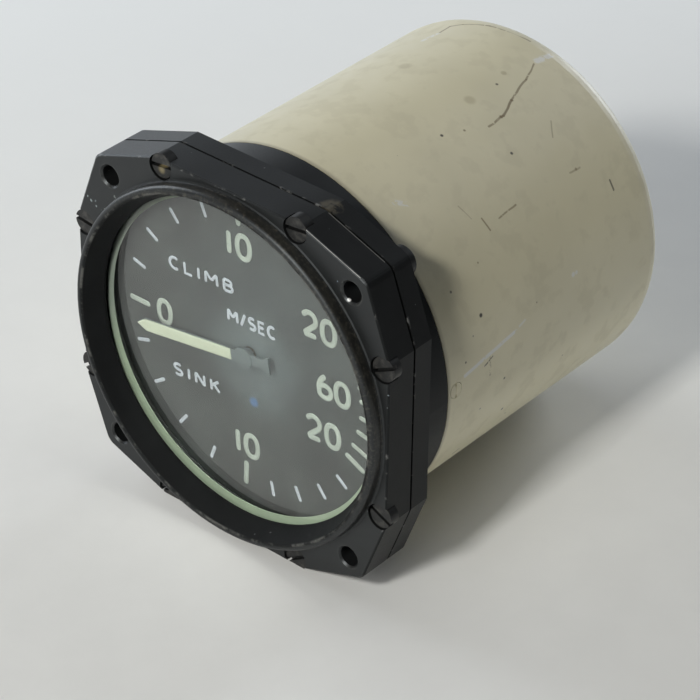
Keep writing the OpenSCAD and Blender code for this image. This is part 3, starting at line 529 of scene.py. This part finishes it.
def case_enamel():
    """Aged cream enamel with stains, dark specks, a rusty crack and pale scuffs."""
    material, tree, shader = new_material("cream_enamel")
    cream = tuple(bpy.context.scene.vsi_finish.cream)
    where = place_of(tree)
    mottle = use(tree, "Mottle", size=42.0)
    small = use(tree, "Mottle", size=190.0)
    colour = blend_colour(tree, mottle["Clouds"], scaled(cream, 0.955), scaled(cream, 1.03))
    # Painted light: the enamel is painted lighter low on the right, where light from the floor falls
    x, _, z = split(tree, where)
    low = step(tree, z, 0.30 * CASE_RADIUS, -0.45 * CASE_RADIUS)
    right = step(tree, x, 0, 0.6 * CASE_RADIUS)
    colour = paint(tree, colour, tuple(min(0.85, v * 1.28) for v in cream), low, right)
    colour = paint(tree, colour, (0.33, 0.29, 0.19), step(tree, small["Clouds"], 0.55, 1.0), 0.12)

    # Painted shade and grime: the case is darker in a narrow band beside the black shoulder
    depth = use(tree, "Axis Place")["Depth"]
    collar_shade_and_grime = step(tree, depth, CASE_LOW.y + 1.2 * MM, CASE_LOW.y)
    colour = paint(tree, colour, (0.16, 0.14, 0.10), collar_shade_and_grime, 0.5)

    dark = (0.035, 0.03, 0.024)
    brown = (0.17, 0.125, 0.06)
    stain = (0.34, 0.29, 0.17)
    pale = (0.72, 0.73, 0.72)
    # Angle, depth, radius in millimetres, colour and strength
    dots = [
        (19.2, 32.2, 0.62, dark, 1.0), (74.6, 70.5, 0.45, dark, 0.8), (69.5, 48.4, 0.50, dark, 0.95),
        (67.2, 53.8, 0.40, brown, 0.8), (54.0, 59.2, 0.48, dark, 0.9), (67.6, 69.6, 0.50, brown, 0.85),
        (64.9, 63.9, 0.55, brown, 0.85), (30.1, 26.4, 0.40, dark, 0.8), (32.9, 36.1, 0.30, brown, 0.7),
        (12.3, 48.9, 0.28, brown, 0.7), (8.8, 25.6, 0.35, dark, 0.8), (-5.8, 38.2, 0.40, dark, 0.85),
        (-21.2, 41.3, 0.50, dark, 0.85), (-26.7, 44.5, 0.30, dark, 0.7), (-11.9, 31.4, 0.30, dark, 0.7),
        (40.2, 71.9, 0.45, brown, 0.6), (76.7, 74.6, 0.9, stain, 0.5), (74.7, 61.7, 1.7, stain, 0.4),
        (100.5, 62.7, 1.8, stain, 0.3), (13.2, 61.2, 0.75, pale, 0.8), (13.2, 62.3, 0.6, pale, 0.7),
    ]
    spots = [(on_case(a, y), r * MM, tint, strength) for a, y, r, tint, strength in dots]
    colour = add_spots(tree, colour, where, spots)
    # From and to as (angle, depth), half width and wobble in millimetres, gaps, colour and strength
    lines = [
        ((74.1, 82.5), (71.1, 77.3), 0.30, 1.0, 0.38, brown, 0.7),
        ((71.1, 77.3), (67.6, 69.6), 0.32, 1.0, 0.38, brown, 0.75),
        ((67.6, 69.6), (64.8, 64.5), 0.36, 1.2, 0.36, brown, 0.85),
        ((64.8, 64.5), (64.4, 59.5), 0.34, 1.2, 0.43, brown, 0.7),
        ((74.4, 83.8), (73.8, 87.8), 1.10, 1.5, 0.43, pale, 0.8),
        ((108.2, 80.6), (108.5, 84.3), 0.34, 0.6, 0.34, brown, 0.7),
        ((108.5, 84.3), (105.1, 85.7), 0.34, 0.6, 0.34, brown, 0.7),
        ((105.1, 85.7), (96.4, 87.4), 0.34, 0.6, 0.36, brown, 0.7),
        ((96.4, 87.4), (81.9, 88.0), 0.34, 0.6, 0.40, brown, 0.6),
        ((109.5, 76.0), (108.4, 80.0), 0.80, 1.5, 0.44, pale, 0.7),
        ((4.8, 25.1), (7.9, 40.9), 0.62, 0.5, 0.33, pale, 0.85),
        ((7.9, 40.9), (9.4, 44.7), 0.40, 0.5, 0.44, pale, 0.6),
        ((5.2, 34.2), (3.6, 31.4), 0.30, 0.8, 0.42, dark, 0.8),
        ((5.4, 33.0), (-0.8, 33.1), 0.28, 0.8, 0.42, brown, 0.5),
        ((-30.4, 31.0), (-31.1, 29.3), 0.32, 0.6, 0.36, dark, 0.75),
        ((55.9, 73.7), (51.7, 71.2), 0.24, 0.6, 0.38, brown, 0.45),
        ((40.2, 69.9), (40.0, 73.1), 0.34, 0.8, 0.38, brown, 0.45),
        ((32.0, 79.4), (28.8, 79.4), 0.34, 0.4, 0.36, dark, 0.75),
        ((40.2, 46.4), (41.0, 52.1), 0.27, 1.2, 0.38, brown, 0.65),
        ((42.9, 42.2), (38.9, 42.8), 0.29, 0.8, 0.38, brown, 0.7),
        ((49.3, 39.0), (44.4, 39.9), 0.22, 0.8, 0.40, brown, 0.4),
        ((59.5, 26.3), (57.0, 28.7), 0.85, 1.5, 0.46, pale, 0.7),
    ]
    for start, end, width, wobble, breaks, tint, strength in lines:
        line = scratch(tree, on_case(*start), on_case(*end), width * MM, wobble * MM, breaks)
        colour = paint(tree, colour, tint, line, strength)
    specks = use(tree, "Specks", cells=230.0, size=0.05, share=0.14)["Mask"]
    colour = paint(tree, colour, dark, specks, 0.55)
    cover(tree, shader, colour, spread(tree, small["Clouds"], 0.36, 0.50))
    feed(tree, shader.inputs["Coat Weight"], 0.15)
    feed(tree, shader.inputs["Coat Roughness"], 0.25)
    relief(tree, shader, mottle["Fine"], 0.08 * MM, 0.12)
    return material


def dial_paint():
    """Faded black of the dial, cloudy, with a painted reflection of the glass as a pale haze in the middle,
    and one bluish speck.
    """
    material, tree, shader = new_material("dial_black")
    black = tuple(bpy.context.scene.vsi_finish.dial)
    where = place_of(tree)
    mottle = use(tree, "Mottle", size=90.0)
    colour = blend_colour(tree, mottle["Clouds"], scaled(black, 0.55), scaled(black, 1.45))
    wisps = step(tree, noise(tree, where, 75.0, 5.0, 0.65), 0.35, 0.70)
    # A painted reflection of the glass: a haze in the middle and a fainter one over most of the dial
    middle = spot(tree, where, (1.5 * MM, DIAL_FACE, -1 * MM), 18 * MM, 0.95)
    broad = spot(tree, where, (7 * MM, DIAL_FACE, 9 * MM), 34 * MM, 0.9)
    amount = compute(tree, "MAXIMUM", product(tree, middle, 0.95), product(tree, broad, 0.26))
    colour = paint(tree, colour, (0.083, 0.103, 0.105), amount, spread(tree, wisps, 0.72, 1.0))
    specks = use(tree, "Specks", cells=520.0, size=0.10, share=0.10)["Mask"]
    colour = paint(tree, colour, (0.22, 0.24, 0.23), specks, 0.3)
    speck = ((0.9 * MM, DIAL_FACE, -11.6 * MM), 1.5 * MM, (0.038, 0.085, 0.17), 1.0)
    cover(tree, shader, add_spots(tree, colour, where, [speck]), 0.65)
    return material


def matt_paint(name, colour_value, variation=0.12):
    """Plain matt paint with a slight unevenness."""
    material, tree, shader = new_material(name)
    colour_value = tuple(colour_value)
    mottle = use(tree, "Mottle", size=330.0)
    colour = blend_colour(tree, mottle["Clouds"], scaled(colour_value, 1 - variation), colour_value)
    cover(tree, shader, colour, spread(tree, mottle["Fine"], 0.6, 0.75))
    relief(tree, shader, mottle["Fine"], 0.04 * MM, 0.3)
    return material


def ring_paint():
    """Pale green face of the ring behind the glass, with painted shade high on the left and on its skirt."""
    material, tree, shader = new_material("pale_paint")
    x, y, z = split(tree, place_of(tree))
    mottle = use(tree, "Mottle", size=200.0)
    colour = blend_colour(tree, mottle["Clouds"], (0.40, 0.465, 0.36), (0.43, 0.50, 0.385))
    # Painted shade: the face is greyer high on the left, under the bezel
    left, high = step(tree, x, -18 * MM, -33 * MM), step(tree, z, -16 * MM, 2 * MM)
    colour = paint(tree, colour, (0.31, 0.345, 0.30), left, high)
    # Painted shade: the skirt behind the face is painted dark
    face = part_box("dial_ring")[0].y
    colour = paint(tree, colour, (0.050, 0.056, 0.052), step(tree, y, face + 0.1 * MM, face + 0.3 * MM))
    cover(tree, shader, colour, 0.68)
    return material


def metal(name, colour_value, roughness, stretch, tarnish, tarnish_share):
    """Bare or plated metal with fine marks and some tarnish."""
    material, tree, shader = new_material(name)
    lines = use(tree, "Brushed", stretch=stretch)["Lines"]
    mottle = use(tree, "Mottle", size=170.0)
    colour = paint(tree, colour_value, tarnish, mottle["Clouds"], tarnish_share)
    cover(tree, shader, colour, spread(tree, lines, roughness * 0.75, roughness * 1.3))
    feed(tree, shader.inputs["Metallic"], 1.0)
    relief(tree, shader, lines, 0.01 * MM, 0.25)
    return material


def screw_black():
    """Blackened steel, rubbed bright where a driver and fingers reach it."""
    material, tree, shader = new_material("blackened_steel")
    where = place_of(tree)
    mottle = use(tree, "Mottle", size=420.0)
    depth = use(tree, "Axis Place")["Depth"]
    top = step(tree, depth, 0.75 * MM, 0.42 * MM)
    rubbed = step(tree, noise(tree, where, 700.0, 3.0, 0.6), 0.45, 0.68)
    colour = paint(tree, (0.016, 0.0165, 0.017), (0.10, 0.096, 0.088), top, rubbed, 0.4)
    # Brass-coloured wear in the slot of the upper screw on the left
    brass_spot = ((-17.6 * MM, 1.3 * MM, 38.9 * MM), 1.5 * MM, (0.34, 0.28, 0.15), 0.75)
    colour = add_spots(tree, colour, where, [brass_spot])
    cover(tree, shader, colour, spread(tree, mottle["Fine"], 0.34, 0.52))
    feed(tree, shader.inputs["Metallic"], 0.35)
    return material


def clear_glass():
    """Clear glass that lets lamp light through to the dial."""
    material, tree, shader = new_material("clear_glass")
    cover(tree, shader, (0.97, 0.985, 0.98, 1), 0.0)
    feed(tree, shader.inputs["Transmission Weight"], 1.0)
    feed(tree, shader.inputs["IOR"], 1.5)
    passing = node(tree, "BsdfTransparent", (0.94, 0.96, 0.955, 1))
    shadow = node(tree, "LightPath").outputs["Is Shadow Ray"]
    mixed = node(tree, "MixShader", shadow, shader.outputs[0], passing.outputs[0])
    feed(tree, tree.nodes["Material Output"].inputs["Surface"], mixed.outputs[0])
    return material


def pointer_paint():
    """Dark paint of the pointer, greyed by a painted reflection of the glass, like the haze around its hub.
    """
    material, tree, shader = new_material("pointer_paint")
    mottle = use(tree, "Mottle", size=300.0)
    colour = blend_colour(tree, mottle["Clouds"], (0.062, 0.077, 0.078), (0.070, 0.087, 0.088))
    cover(tree, shader, colour, spread(tree, mottle["Fine"], 0.5, 0.65))
    return material


def rubber(name, colour_value):
    """Dark rubber or pressed fibre."""
    material, tree, shader = new_material(name)
    mottle = use(tree, "Mottle", size=260.0)
    colour = blend_colour(tree, mottle["Clouds"], colour_value, scaled(colour_value, 1.6))
    cover(tree, shader, colour, spread(tree, mottle["Fine"], 0.7, 0.9))
    relief(tree, shader, mottle["Fine"], 0.05 * MM, 0.4)
    return material


def dress(material, *names):
    """Gives CAD nodes a material."""
    for name in names:
        slots = frame["nodes"][name].material_slots
        if not slots:
            frame["nodes"][name].data.materials.append(material)
        for held in slots:
            held.material = material


def add_object(name, data):
    """A new object in the scene."""
    made = bpy.data.objects.new(name, data)
    bpy.context.scene.collection.objects.link(made)
    return made


# Painted strokes for the dial

def arc(centre, radii, start, end, steps=10):
    """Points along part of an ellipse, angles in degrees."""
    turned = [math.radians(start + (end - start) * i / steps) for i in range(steps + 1)]
    return [(centre[0] + radii[0] * math.cos(a), centre[1] + radii[1] * math.sin(a)) for a in turned]


def round_ends(points, width):
    """Adds points at both ends of a stroke where its radius falls to nothing, as a brush leaves it."""
    points = [Vector(p) for p in points]

    def cap(end, inner):
        along = (inner - end).normalized() * width / 2
        angles = [math.radians(a) for a in (8, 40, 65, 90)]
        return [(end + along * (1 - math.cos(a)), math.sin(a)) for a in angles]

    # A point close to an end would fold the stroke, so it is left out
    ends = (points[0], points[-1])
    middle = [(p, 1.0) for p in points[1:-1] if min((p - e).length for e in ends) > width * 0.6]
    return cap(points[0], points[1]) + middle + cap(points[-1], points[-2])[::-1]


def painted(name, strokes, flatness, material):
    """One mesh of domed strokes on the dial: each is a list of [x, z] points, a width and a closed flag."""
    curve = bpy.data.curves.new(name + "_lines", "CURVE")
    curve.dimensions = "3D"
    curve.bevel_mode = "ROUND"
    curve.bevel_depth = 1.0
    curve.bevel_resolution = 2
    for points, width, closed in strokes:
        shaped = [(Vector(p), 1.0) for p in points] if closed else round_ends(points, width)
        spline = curve.splines.new("POLY")
        spline.points.add(len(shaped) - 1)
        spline.use_cyclic_u = closed
        for held, (place, share) in zip(spline.points, shaped):
            held.co = (place[0], place[1], 0, 1)
            held.radius = share * width / 2
    holder = add_object(name + "_lines", curve)
    bpy.context.view_layer.update()
    mesh = bpy.data.meshes.new_from_object(holder.evaluated_get(bpy.context.evaluated_depsgraph_get()))
    bpy.data.objects.remove(holder)
    for vertex in mesh.vertices:
        x, z, raised = vertex.co
        vertex.co = (x, DIAL_FACE - raised * flatness, z)
    mesh.flip_normals()
    mesh.materials.append(material)
    for face in mesh.polygons:
        face.use_smooth = True
    return add_object(name, mesh)


def digit_strokes(digit, half_w, half_h):
    """The centre lines of one digit about its own centre, as (points, closed)."""
    if digit == "0":
        turned = [math.radians(a) for a in range(0, 360, 12)]
        power = 0.86
        ring = [(half_w * math.copysign(abs(math.cos(a)) ** power, math.cos(a)),
                 half_h * math.copysign(abs(math.sin(a)) ** power, math.sin(a))) for a in turned]
        return [(ring, True)]
    if digit == "1":
        return [([(0, half_h), (0, -half_h)], False)]
    if digit == "2":
        top = arc((0, half_h - half_w), (half_w, half_w), 165, -38, 12)
        foot = (-half_w, -half_h)
        return [(top + [foot], False), ([foot, (half_w, -half_h)], False)]
    if digit == "6":
        bowl_r = half_h * 0.56
        bowl_level = bowl_r - half_h
        stem = arc((half_w * 0.75, bowl_level), (half_w * 1.75, 2 * half_h - bowl_r), 106, 180, 10)
        bowl = arc((0, bowl_level), (half_w, bowl_r), 180, 535, 24)
        return [(stem + bowl[1:], False)]
    raise ValueError(f"no strokes for digit {digit!r}")


def letter_strokes(letter):
    """The centre lines of one letter in a box one unit high, and its width."""
    shapes = {
        "C": ([arc((0.36, 0.5), (0.36, 0.5), 50, 310, 14)], 0.60),
        "L": ([[(0, 1), (0, 0), (0.52, 0)]], 0.52),
        "I": ([[(0, 1), (0, 0)]], 0.0),
        "M": ([[(0, 0), (0.03, 1)], [(0.03, 1), (0.42, 0.35)],
               [(0.42, 0.35), (0.81, 1)], [(0.81, 1), (0.84, 0)]], 0.84),
        "B": ([[(0, 0), (0, 1)], [(0, 1)] + arc((0.30, 0.77), (0.24, 0.23), 90, -90, 8) + [(0, 0.54)],
               [(0, 0.54)] + arc((0.33, 0.27), (0.27, 0.27), 90, -90, 8) + [(0, 0)]], 0.60),
        "S": ([arc((0.28, 0.75), (0.26, 0.25), 35, 250, 10)
               + arc((0.28, 0.25), (0.28, 0.25), 70, -145, 10)], 0.56),
        "N": ([[(0, 0), (0, 1)], [(0, 1), (0.62, 0)], [(0.62, 0), (0.62, 1)]], 0.62),
        "K": ([[(0, 0), (0, 1)], [(0.56, 1), (0, 0.42)], [(0.20, 0.60), (0.60, 0)]], 0.60),
        "E": ([[(0.52, 1), (0, 1), (0, 0), (0.52, 0)], [(0, 0.52), (0.46, 0.52)]], 0.52),
        "/": ([[(0, -0.05), (0.42, 1.08)]], 0.42),
    }
    return shapes[letter]


def word_strokes(word, height, width, gap, stretch):
    """Strokes of a word about its own centre; height is of the centre lines and gap is between letters."""
    across = height * stretch
    widths = [letter_strokes(c)[1] * across for c in word]
    left = -(sum(widths) + gap * (len(word) - 1)) / 2
    strokes = []
    for c, w in zip(word, widths):
        for line in letter_strokes(c)[0]:
            strokes.append(([(left + x * across, (z - 0.5) * height) for x, z in line], width, False))
        left += w + gap
    return strokes


def put(strokes, centre, turn):
    """Turns strokes anticlockwise about their own centre and carries them to a place on the dial."""
    cosine, sine = math.cos(turn), math.sin(turn)

    def moved(x, z):
        return centre[0] + x * cosine - z * sine, centre[1] + x * sine + z * cosine
    return [([moved(x, z) for x, z in line], width, closed) for line, width, closed in strokes]


def ray(angle, inner, outer):
    """A line along a radius of the dial, angle from +X towards +Z in degrees."""
    a = math.radians(angle)
    return [(inner * math.cos(a), inner * math.sin(a)), (outer * math.cos(a), outer * math.sin(a))]


# One operator for each piece or group of like pieces

class EnamelOperator(bpy.types.Operator):
    """Black enamel on the flange's two plates, with their gasket, screws and nuts"""

    bl_idname = "vsi.enamel"
    bl_label = "Black Enamel"

    def execute(self, context):
        dress(flange_enamel("black_enamel_front", True), "front_bezel")
        dress(flange_enamel("black_enamel_rear", False), "rear_flange")
        dress(rubber("gasket_fibre", (0.012, 0.011, 0.010)), "flange_gasket")
        dress(screw_black(), "bezel_screws", "mounting_nuts")
        return {"FINISHED"}


class CaseOperator(bpy.types.Operator):
    """Cream enamel on the case and on the screws that hold it"""

    bl_idname = "vsi.case"
    bl_label = "Case"

    def execute(self, context):
        dress(case_enamel(), "case_can", "case_screws")
        return {"FINISHED"}


class GlassOperator(bpy.types.Operator):
    """The glass, the rubber of its seal and of the port's washer, and the pale ring"""

    bl_idname = "vsi.glass"
    bl_label = "Glass"

    def execute(self, context):
        dress(clear_glass(), "glass")
        dress(rubber("black_rubber", (0.02, 0.02, 0.02)), "glass_seal", "port_washer")
        dress(ring_paint(), "dial_ring")
        return {"FINISHED"}


class DialOperator(bpy.types.Operator):
    """The dial's ground colour"""

    bl_idname = "vsi.dial"
    bl_label = "Dial"

    def execute(self, context):
        dress(dial_paint(), "dial")
        return {"FINISHED"}


class MarksOperator(bpy.types.Operator):
    """The marks of the scale: green at zero and every ten, white at every two"""

    bl_idname = "vsi.marks"
    bl_label = "Scale Marks"

    def execute(self, context):
        sizes = context.scene.vsi_dial
        outer = sizes.mark_outer
        inner = outer - sizes.minor_length
        # Angles in degrees: where zero stands, and the turns from it to the marks on each side
        zero_at = 181.4
        at_ten = 86.0
        at_twenty = 152.6
        white_turns = [17.2, 34.4, 51.6, 68.8, 99.3, 112.6, 126.0, 139.3]
        minor = [(ray(zero_at - side * a, inner, outer), sizes.minor_width, False)
                 for a in white_turns for side in (1, -1)]
        # Green marks: angle, inner and outer radius in millimetres, share of the full width
        greens = [
            (zero_at - 0.4, 27.8, 33.6, 1.0),
            (zero_at - at_ten, 29.4, 33.6, 1.0), (zero_at + at_ten, 27.6, 33.6, 1.0),
            (zero_at - at_twenty, 28.4, 34.0, 1.0), (zero_at + at_twenty, 28.4, 34.0, 1.0),
            (22.6, 28.8, 33.6, 0.85), (16.1, 28.8, 33.6, 0.85), (9.8, 28.8, 33.6, 0.85),
            (3.7, 29.0, 33.6, 0.85), (356.1, 29.0, 33.6, 0.85), (348.8, 28.8, 33.6, 0.85),
            (341.0, 28.6, 33.6, 0.85),
        ]
        major = [(ray(a, start * MM, end * MM), sizes.major_width * share, False)
                 for a, start, end, share in greens]
        white = matt_paint("white_paint", context.scene.vsi_finish.white)
        green = matt_paint("scale_lume", context.scene.vsi_finish.lume)
        for name, strokes, material, slot in (
                ("dial_white_marks", minor, white, "pale_paint"),
                ("dial_green_marks", major, green, "luminous_paint")):
            piece = painted(name, strokes, sizes.relief, material)
            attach(piece, CASE_BODY)
        return {"FINISHED"}


class NumbersOperator(bpy.types.Operator):
    """The numbers of the scale, in luminous paint"""

    bl_idname = "vsi.numbers"
    bl_label = "Numbers"

    def execute(self, context):
        sizes = context.scene.vsi_dial
        half_w = (sizes.digit_width - sizes.digit_stroke) / 2
        half_h = (sizes.digit_height - sizes.digit_stroke) / 2
        # Each digit's centre in millimetres, [x, z]
        digits = [
            ("0", -23.7, -0.4),
            ("1", -5.4, 24.5), ("0", -1.5, 24.7),
            ("2", 15.9, 14.4), ("0", 20.8, 14.3),
            ("6", 19.9, 1.1), ("0", 24.5, 1.2),
            ("2", 17.1, -10.1), ("0", 22.1, -10.1),
            ("1", -3.6, -23.3), ("0", 0.2, -23.2),
        ]
        strokes = []
        for digit, x, z in digits:
            lines = digit_strokes(digit, half_w, half_h)
            widened = [(line, sizes.digit_stroke, closed) for line, closed in lines]
            strokes += put(widened, (x * MM, z * MM), sizes.print_turn)
        piece = painted("dial_numbers", strokes, sizes.relief, bpy.data.materials["scale_lume"])
        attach(piece, CASE_BODY)
        return {"FINISHED"}


class WordsOperator(bpy.types.Operator):
    """The words for climb, descent and the unit"""

    bl_idname = "vsi.words"
    bl_label = "Words"

    def execute(self, context):
        sizes = context.scene.vsi_dial
        stroke = sizes.letter_stroke
        height = sizes.letter_height - stroke
        # Word, centre, gap between letters, and how much the letters are stretched sideways
        words = [
            ("CLIMB", (-13.25 * MM, 13.4 * MM), 1.9 * MM, 1.45),
            ("M/SEC", (0.4 * MM, 7.4 * MM), 1.0 * MM, 1.12),
            ("SINK", (-15.0 * MM, -12.9 * MM), 2.0 * MM, 1.45),
        ]
        strokes = []
        for word, centre, gap, stretch in words:
            strokes += put(word_strokes(word, height, stroke, gap, stretch), centre, sizes.print_turn)
        piece = painted("dial_words", strokes, sizes.relief, bpy.data.materials["white_paint"])
        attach(piece, CASE_BODY)
        return {"FINISHED"}


class PointerOperator(bpy.types.Operator):
    """The pointer and the luminous strip along its blade"""

    bl_idname = "vsi.pointer"
    bl_label = "Pointer"

    def execute(self, context):
        dress(pointer_paint(), "pointer")
        # At rest the pointer stands 8.5 degrees below the left
        rest = math.radians(180 + 8.5)
        along = Vector((math.cos(rest), math.sin(rest)))
        across = Vector((-along.y, along.x))
        # Outline of the strip: distance along the blade and half width, in millimetres
        outline = [(3.4, 1.25), (16.0, 1.32), (27.4, 1.38), (28.7, 0.72)]
        tip = 29.9
        base, wall, crown = 0.2 * MM, 0.10 * MM, 0.18 * MM
        ring = [along * a * MM + across * b * MM for a, b in outline]
        ring += [along * tip * MM]
        ring += [along * a * MM - across * b * MM for a, b in outline[::-1]]
        centre = sum(ring, Vector((0, 0))) / len(ring)
        # The crown is drawn in from the edge, more across than along
        inner = [centre + (p - centre) * 0.97 - across * (p - centre).dot(across) * 0.25 for p in ring]
        mesh = bmesh.new()
        low, high, top = (
            [mesh.verts.new((p.x, POINTER_FACE + base - rise, p.y)) for p in points]
            for points, rise in ((ring, 0), (ring, wall), (inner, crown)))
        count = len(ring)
        for i in range(count):
            j = (i + 1) % count
            mesh.faces.new((low[i], low[j], high[j], high[i]))
            mesh.faces.new((high[i], high[j], top[j], top[i]))
        mesh.faces.new(top)
        mesh.faces.new(low[::-1])
        bmesh.ops.recalc_face_normals(mesh, faces=mesh.faces)
        data = bpy.data.meshes.new("pointer_lume")
        mesh.to_mesh(data)
        mesh.free()
        piece = add_object("pointer_lume", data)
        # The strip is a little brighter and yellower than the numbers
        warmer = [v * share for v, share in zip(context.scene.vsi_finish.lume, (1.31, 1.25, 1.09))]
        data.materials.append(matt_paint("pointer_lume", warmer, 0.06))
        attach(piece, POINTER_BODY)
        return {"FINISHED"}


class MovementOperator(bpy.types.Operator):
    """Brass, steel, bronze and copper of the movement, the capsule and the static port"""

    bl_idname = "vsi.movement"
    bl_label = "Movement"

    def execute(self, context):
        # Brushing runs along the axis with the fewest waves per metre
        along_x, along_y, along_z = (900.0, 9000.0, 9000.0), (9000.0, 900.0, 9000.0), (9000.0, 9000.0, 900.0)
        even = (4000.0, 4000.0, 4000.0)
        # Slot: colour, roughness, brushing, colour of the tarnish and its share
        metals = {
            "brass": ((0.62, 0.44, 0.17), 0.30, along_x, (0.34, 0.24, 0.10), 0.35),
            "steel": ((0.52, 0.52, 0.51), 0.26, along_y, (0.30, 0.29, 0.28), 0.30),
            "blued_steel": ((0.05, 0.09, 0.24), 0.22, along_z, (0.09, 0.07, 0.18), 0.35),
            "bronze_sheet": ((0.60, 0.38, 0.17), 0.28, even, (0.36, 0.22, 0.10), 0.35),
            "copper_tube": ((0.58, 0.27, 0.13), 0.30, along_z, (0.26, 0.13, 0.08), 0.35),
        }
        finishes = {slot: metal(slot, *values) for slot, values in metals.items()}
        for part in frame["record"]["subparts"]:
            if part["material_slot"] in finishes:
                dress(finishes[part["material_slot"]], part["node"])
        # What shows through the dial's hole is painted dark brass, as painted shade
        dull = metal("brass_painted_shade", (0.10, 0.075, 0.04), 0.5, along_x, (0.05, 0.04, 0.025), 0.35)
        dress(dull, "front_bearings", "front_movement_plate")
        return {"FINISHED"}


class CapsuleOperator(bpy.types.Operator):
    """Rear diaphragm that stays on its stem while its rim follows the stroke"""
    # """Rear diaphragm, copied to a mesh of its own that takes the place of the original"""

    bl_idname = "vsi.capsule"
    bl_label = "Capsule"

    def execute(self, context):
        original = bpy.data.objects["rear_diaphragm"]
        sheet = add_object("flexing_diaphragm", original.data.copy())
        sheet.matrix_world = original.matrix_world
        # The rim is 0.3 mm thick, and the waves lie more than 1.1 mm behind its front
        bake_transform(sheet)
        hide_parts("rear_diaphragm")
        return {"FINISHED"}


class StageOperator(bpy.types.Operator):
    """A pale floor, soft lamps and the camera at the photograph's angle"""

    bl_idname = "vsi.stage"
    bl_label = "Stage"

    def execute(self, context):
        sizes = context.scene.vsi_stage
        self.make_floor(tuple(sizes.floor))
        middle = Vector((0, 0.045, 0))
        warm = (1.0, 0.99, 0.94)
        cool = (0.94, 0.99, 1.04)
        # Each lamp stands a metre from the middle: name, direction, power, width and colour
        lamps = [
            ("key", (0.09, -0.775, 0.625), sizes.key, 0.13, warm),
            ("front", (0, -0.95, 0.30), sizes.front, 0.60, warm),
            ("left", (-0.95, 0, 0.30), sizes.left, 0.60, cool),
            ("window", (-0.68, 0.68, 0.25), sizes.window, 0.60, cool),
            ("back", (0, 0.95, 0.30), sizes.back, 0.60, cool),
        ]
        for name, direction, power, width, tint in lamps:
            self.make_lamp(name, middle + Vector(direction).normalized(), middle, width, power, tint)
        world = bpy.data.worlds.new("room")
        context.scene.world = world
        world.use_nodes = True
        background = world.node_tree.nodes["Background"]
        background.inputs[0].default_value = (0.90, 0.95, 1.0, 1)
        background.inputs[1].default_value = sizes.room
        camera = bpy.data.cameras.new("camera")
        camera.sensor_width = 36
        camera.lens = sizes.lens
        camera.clip_start = 0.05
        holder = add_object("camera", camera)
        holder.location = sizes.place
        holder.rotation_euler = Euler(sizes.turn)
        context.scene.camera = holder
        context.scene.view_settings.view_transform = "Standard"
        return {"FINISHED"}

    def make_floor(self, colour_value):
        """A wide level floor that the flange and the case rest on."""
        half_width = 3.0
        mesh = bmesh.new()
        bmesh.ops.create_grid(mesh, x_segments=1, y_segments=1, size=half_width)
        data = bpy.data.meshes.new("floor")
        mesh.to_mesh(data)
        mesh.free()
        floor = add_object("floor", data)
        floor.location = (0, 0, REST_LEVEL - 0.05 * MM)
        material, tree, shader = new_material("floor")
        where = place_of(tree)
        shade = step(tree, noise(tree, where, 60.0, 4.0, 0.6), 0.25, 0.75)
        low = scaled(colour_value, 0.97)
        colour = blend_colour(tree, shade, low, colour_value)
        # Painted light: the floor is paler towards the back on the left
        x, y, _ = split(tree, where)
        towards = compute(tree, "SUBTRACT", product(tree, y, 0.7), x)
        pale = tuple(min(1.0, v * f) for v, f in zip(colour_value, (1.12, 1.14, 1.16)))
        colour = blend_colour(tree, step(tree, towards, 0.03, 0.38), colour, pale)
        cover(tree, shader, colour, 0.8)
        data.materials.append(material)

    def make_lamp(self, name, place, target, size, power, tint):
        """A square soft lamp turned towards a point."""
        lamp = bpy.data.lights.new(name, "AREA")
        lamp.size = size
        lamp.energy = power
        lamp.color = tint
        holder = add_object(name, lamp)
        holder.location = place
        holder.rotation_euler = (target - place).to_track_quat("-Z", "Y").to_euler()


class IndicatorPanel(bpy.types.Panel):
    """Lists the steps and their settings"""

    bl_idname = "VSI_PT_steps"
    bl_label = "Indicator"
    bl_space_type = "VIEW_3D"
    bl_region_type = "UI"
    bl_category = "Indicator"

    def draw(self, context):
        for settings in (context.scene.vsi_dial, context.scene.vsi_finish, context.scene.vsi_stage):
            box = self.layout.box()
            for name in settings.bl_rna.properties.keys():
                if name not in ("rna_type", "name"):
                    box.prop(settings, name)
        for step_class in STEPS:
            self.layout.operator(step_class.bl_idname)


SETTINGS = {"vsi_dial": DialSettings, "vsi_finish": FinishSettings, "vsi_stage": StageSettings}
STEPS = (
    StageOperator, EnamelOperator, CaseOperator, GlassOperator, DialOperator, MarksOperator,
    NumbersOperator, WordsOperator, PointerOperator, MovementOperator, CapsuleOperator,
)


def register():
    for group in (*SETTINGS.values(), *STEPS, IndicatorPanel):
        bpy.utils.register_class(group)
    for name, group in SETTINGS.items():
        setattr(bpy.types.Scene, name, bpy.props.PointerProperty(type=group))


def unregister():
    for name in SETTINGS:
        delattr(bpy.types.Scene, name)
    for group in reversed((*SETTINGS.values(), *STEPS, IndicatorPanel)):
        bpy.utils.unregister_class(group)


def main():
    """Registers the add-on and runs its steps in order."""
    register()
    bpy.ops.vsi.stage()
    bpy.ops.vsi.enamel()
    bpy.ops.vsi.case()
    bpy.ops.vsi.glass()
    bpy.ops.vsi.dial()
    bpy.ops.vsi.marks()
    bpy.ops.vsi.numbers()
    bpy.ops.vsi.words()
    bpy.ops.vsi.pointer()
    bpy.ops.vsi.movement()
    bpy.ops.vsi.capsule()


if __name__ == "__main__":
    main()
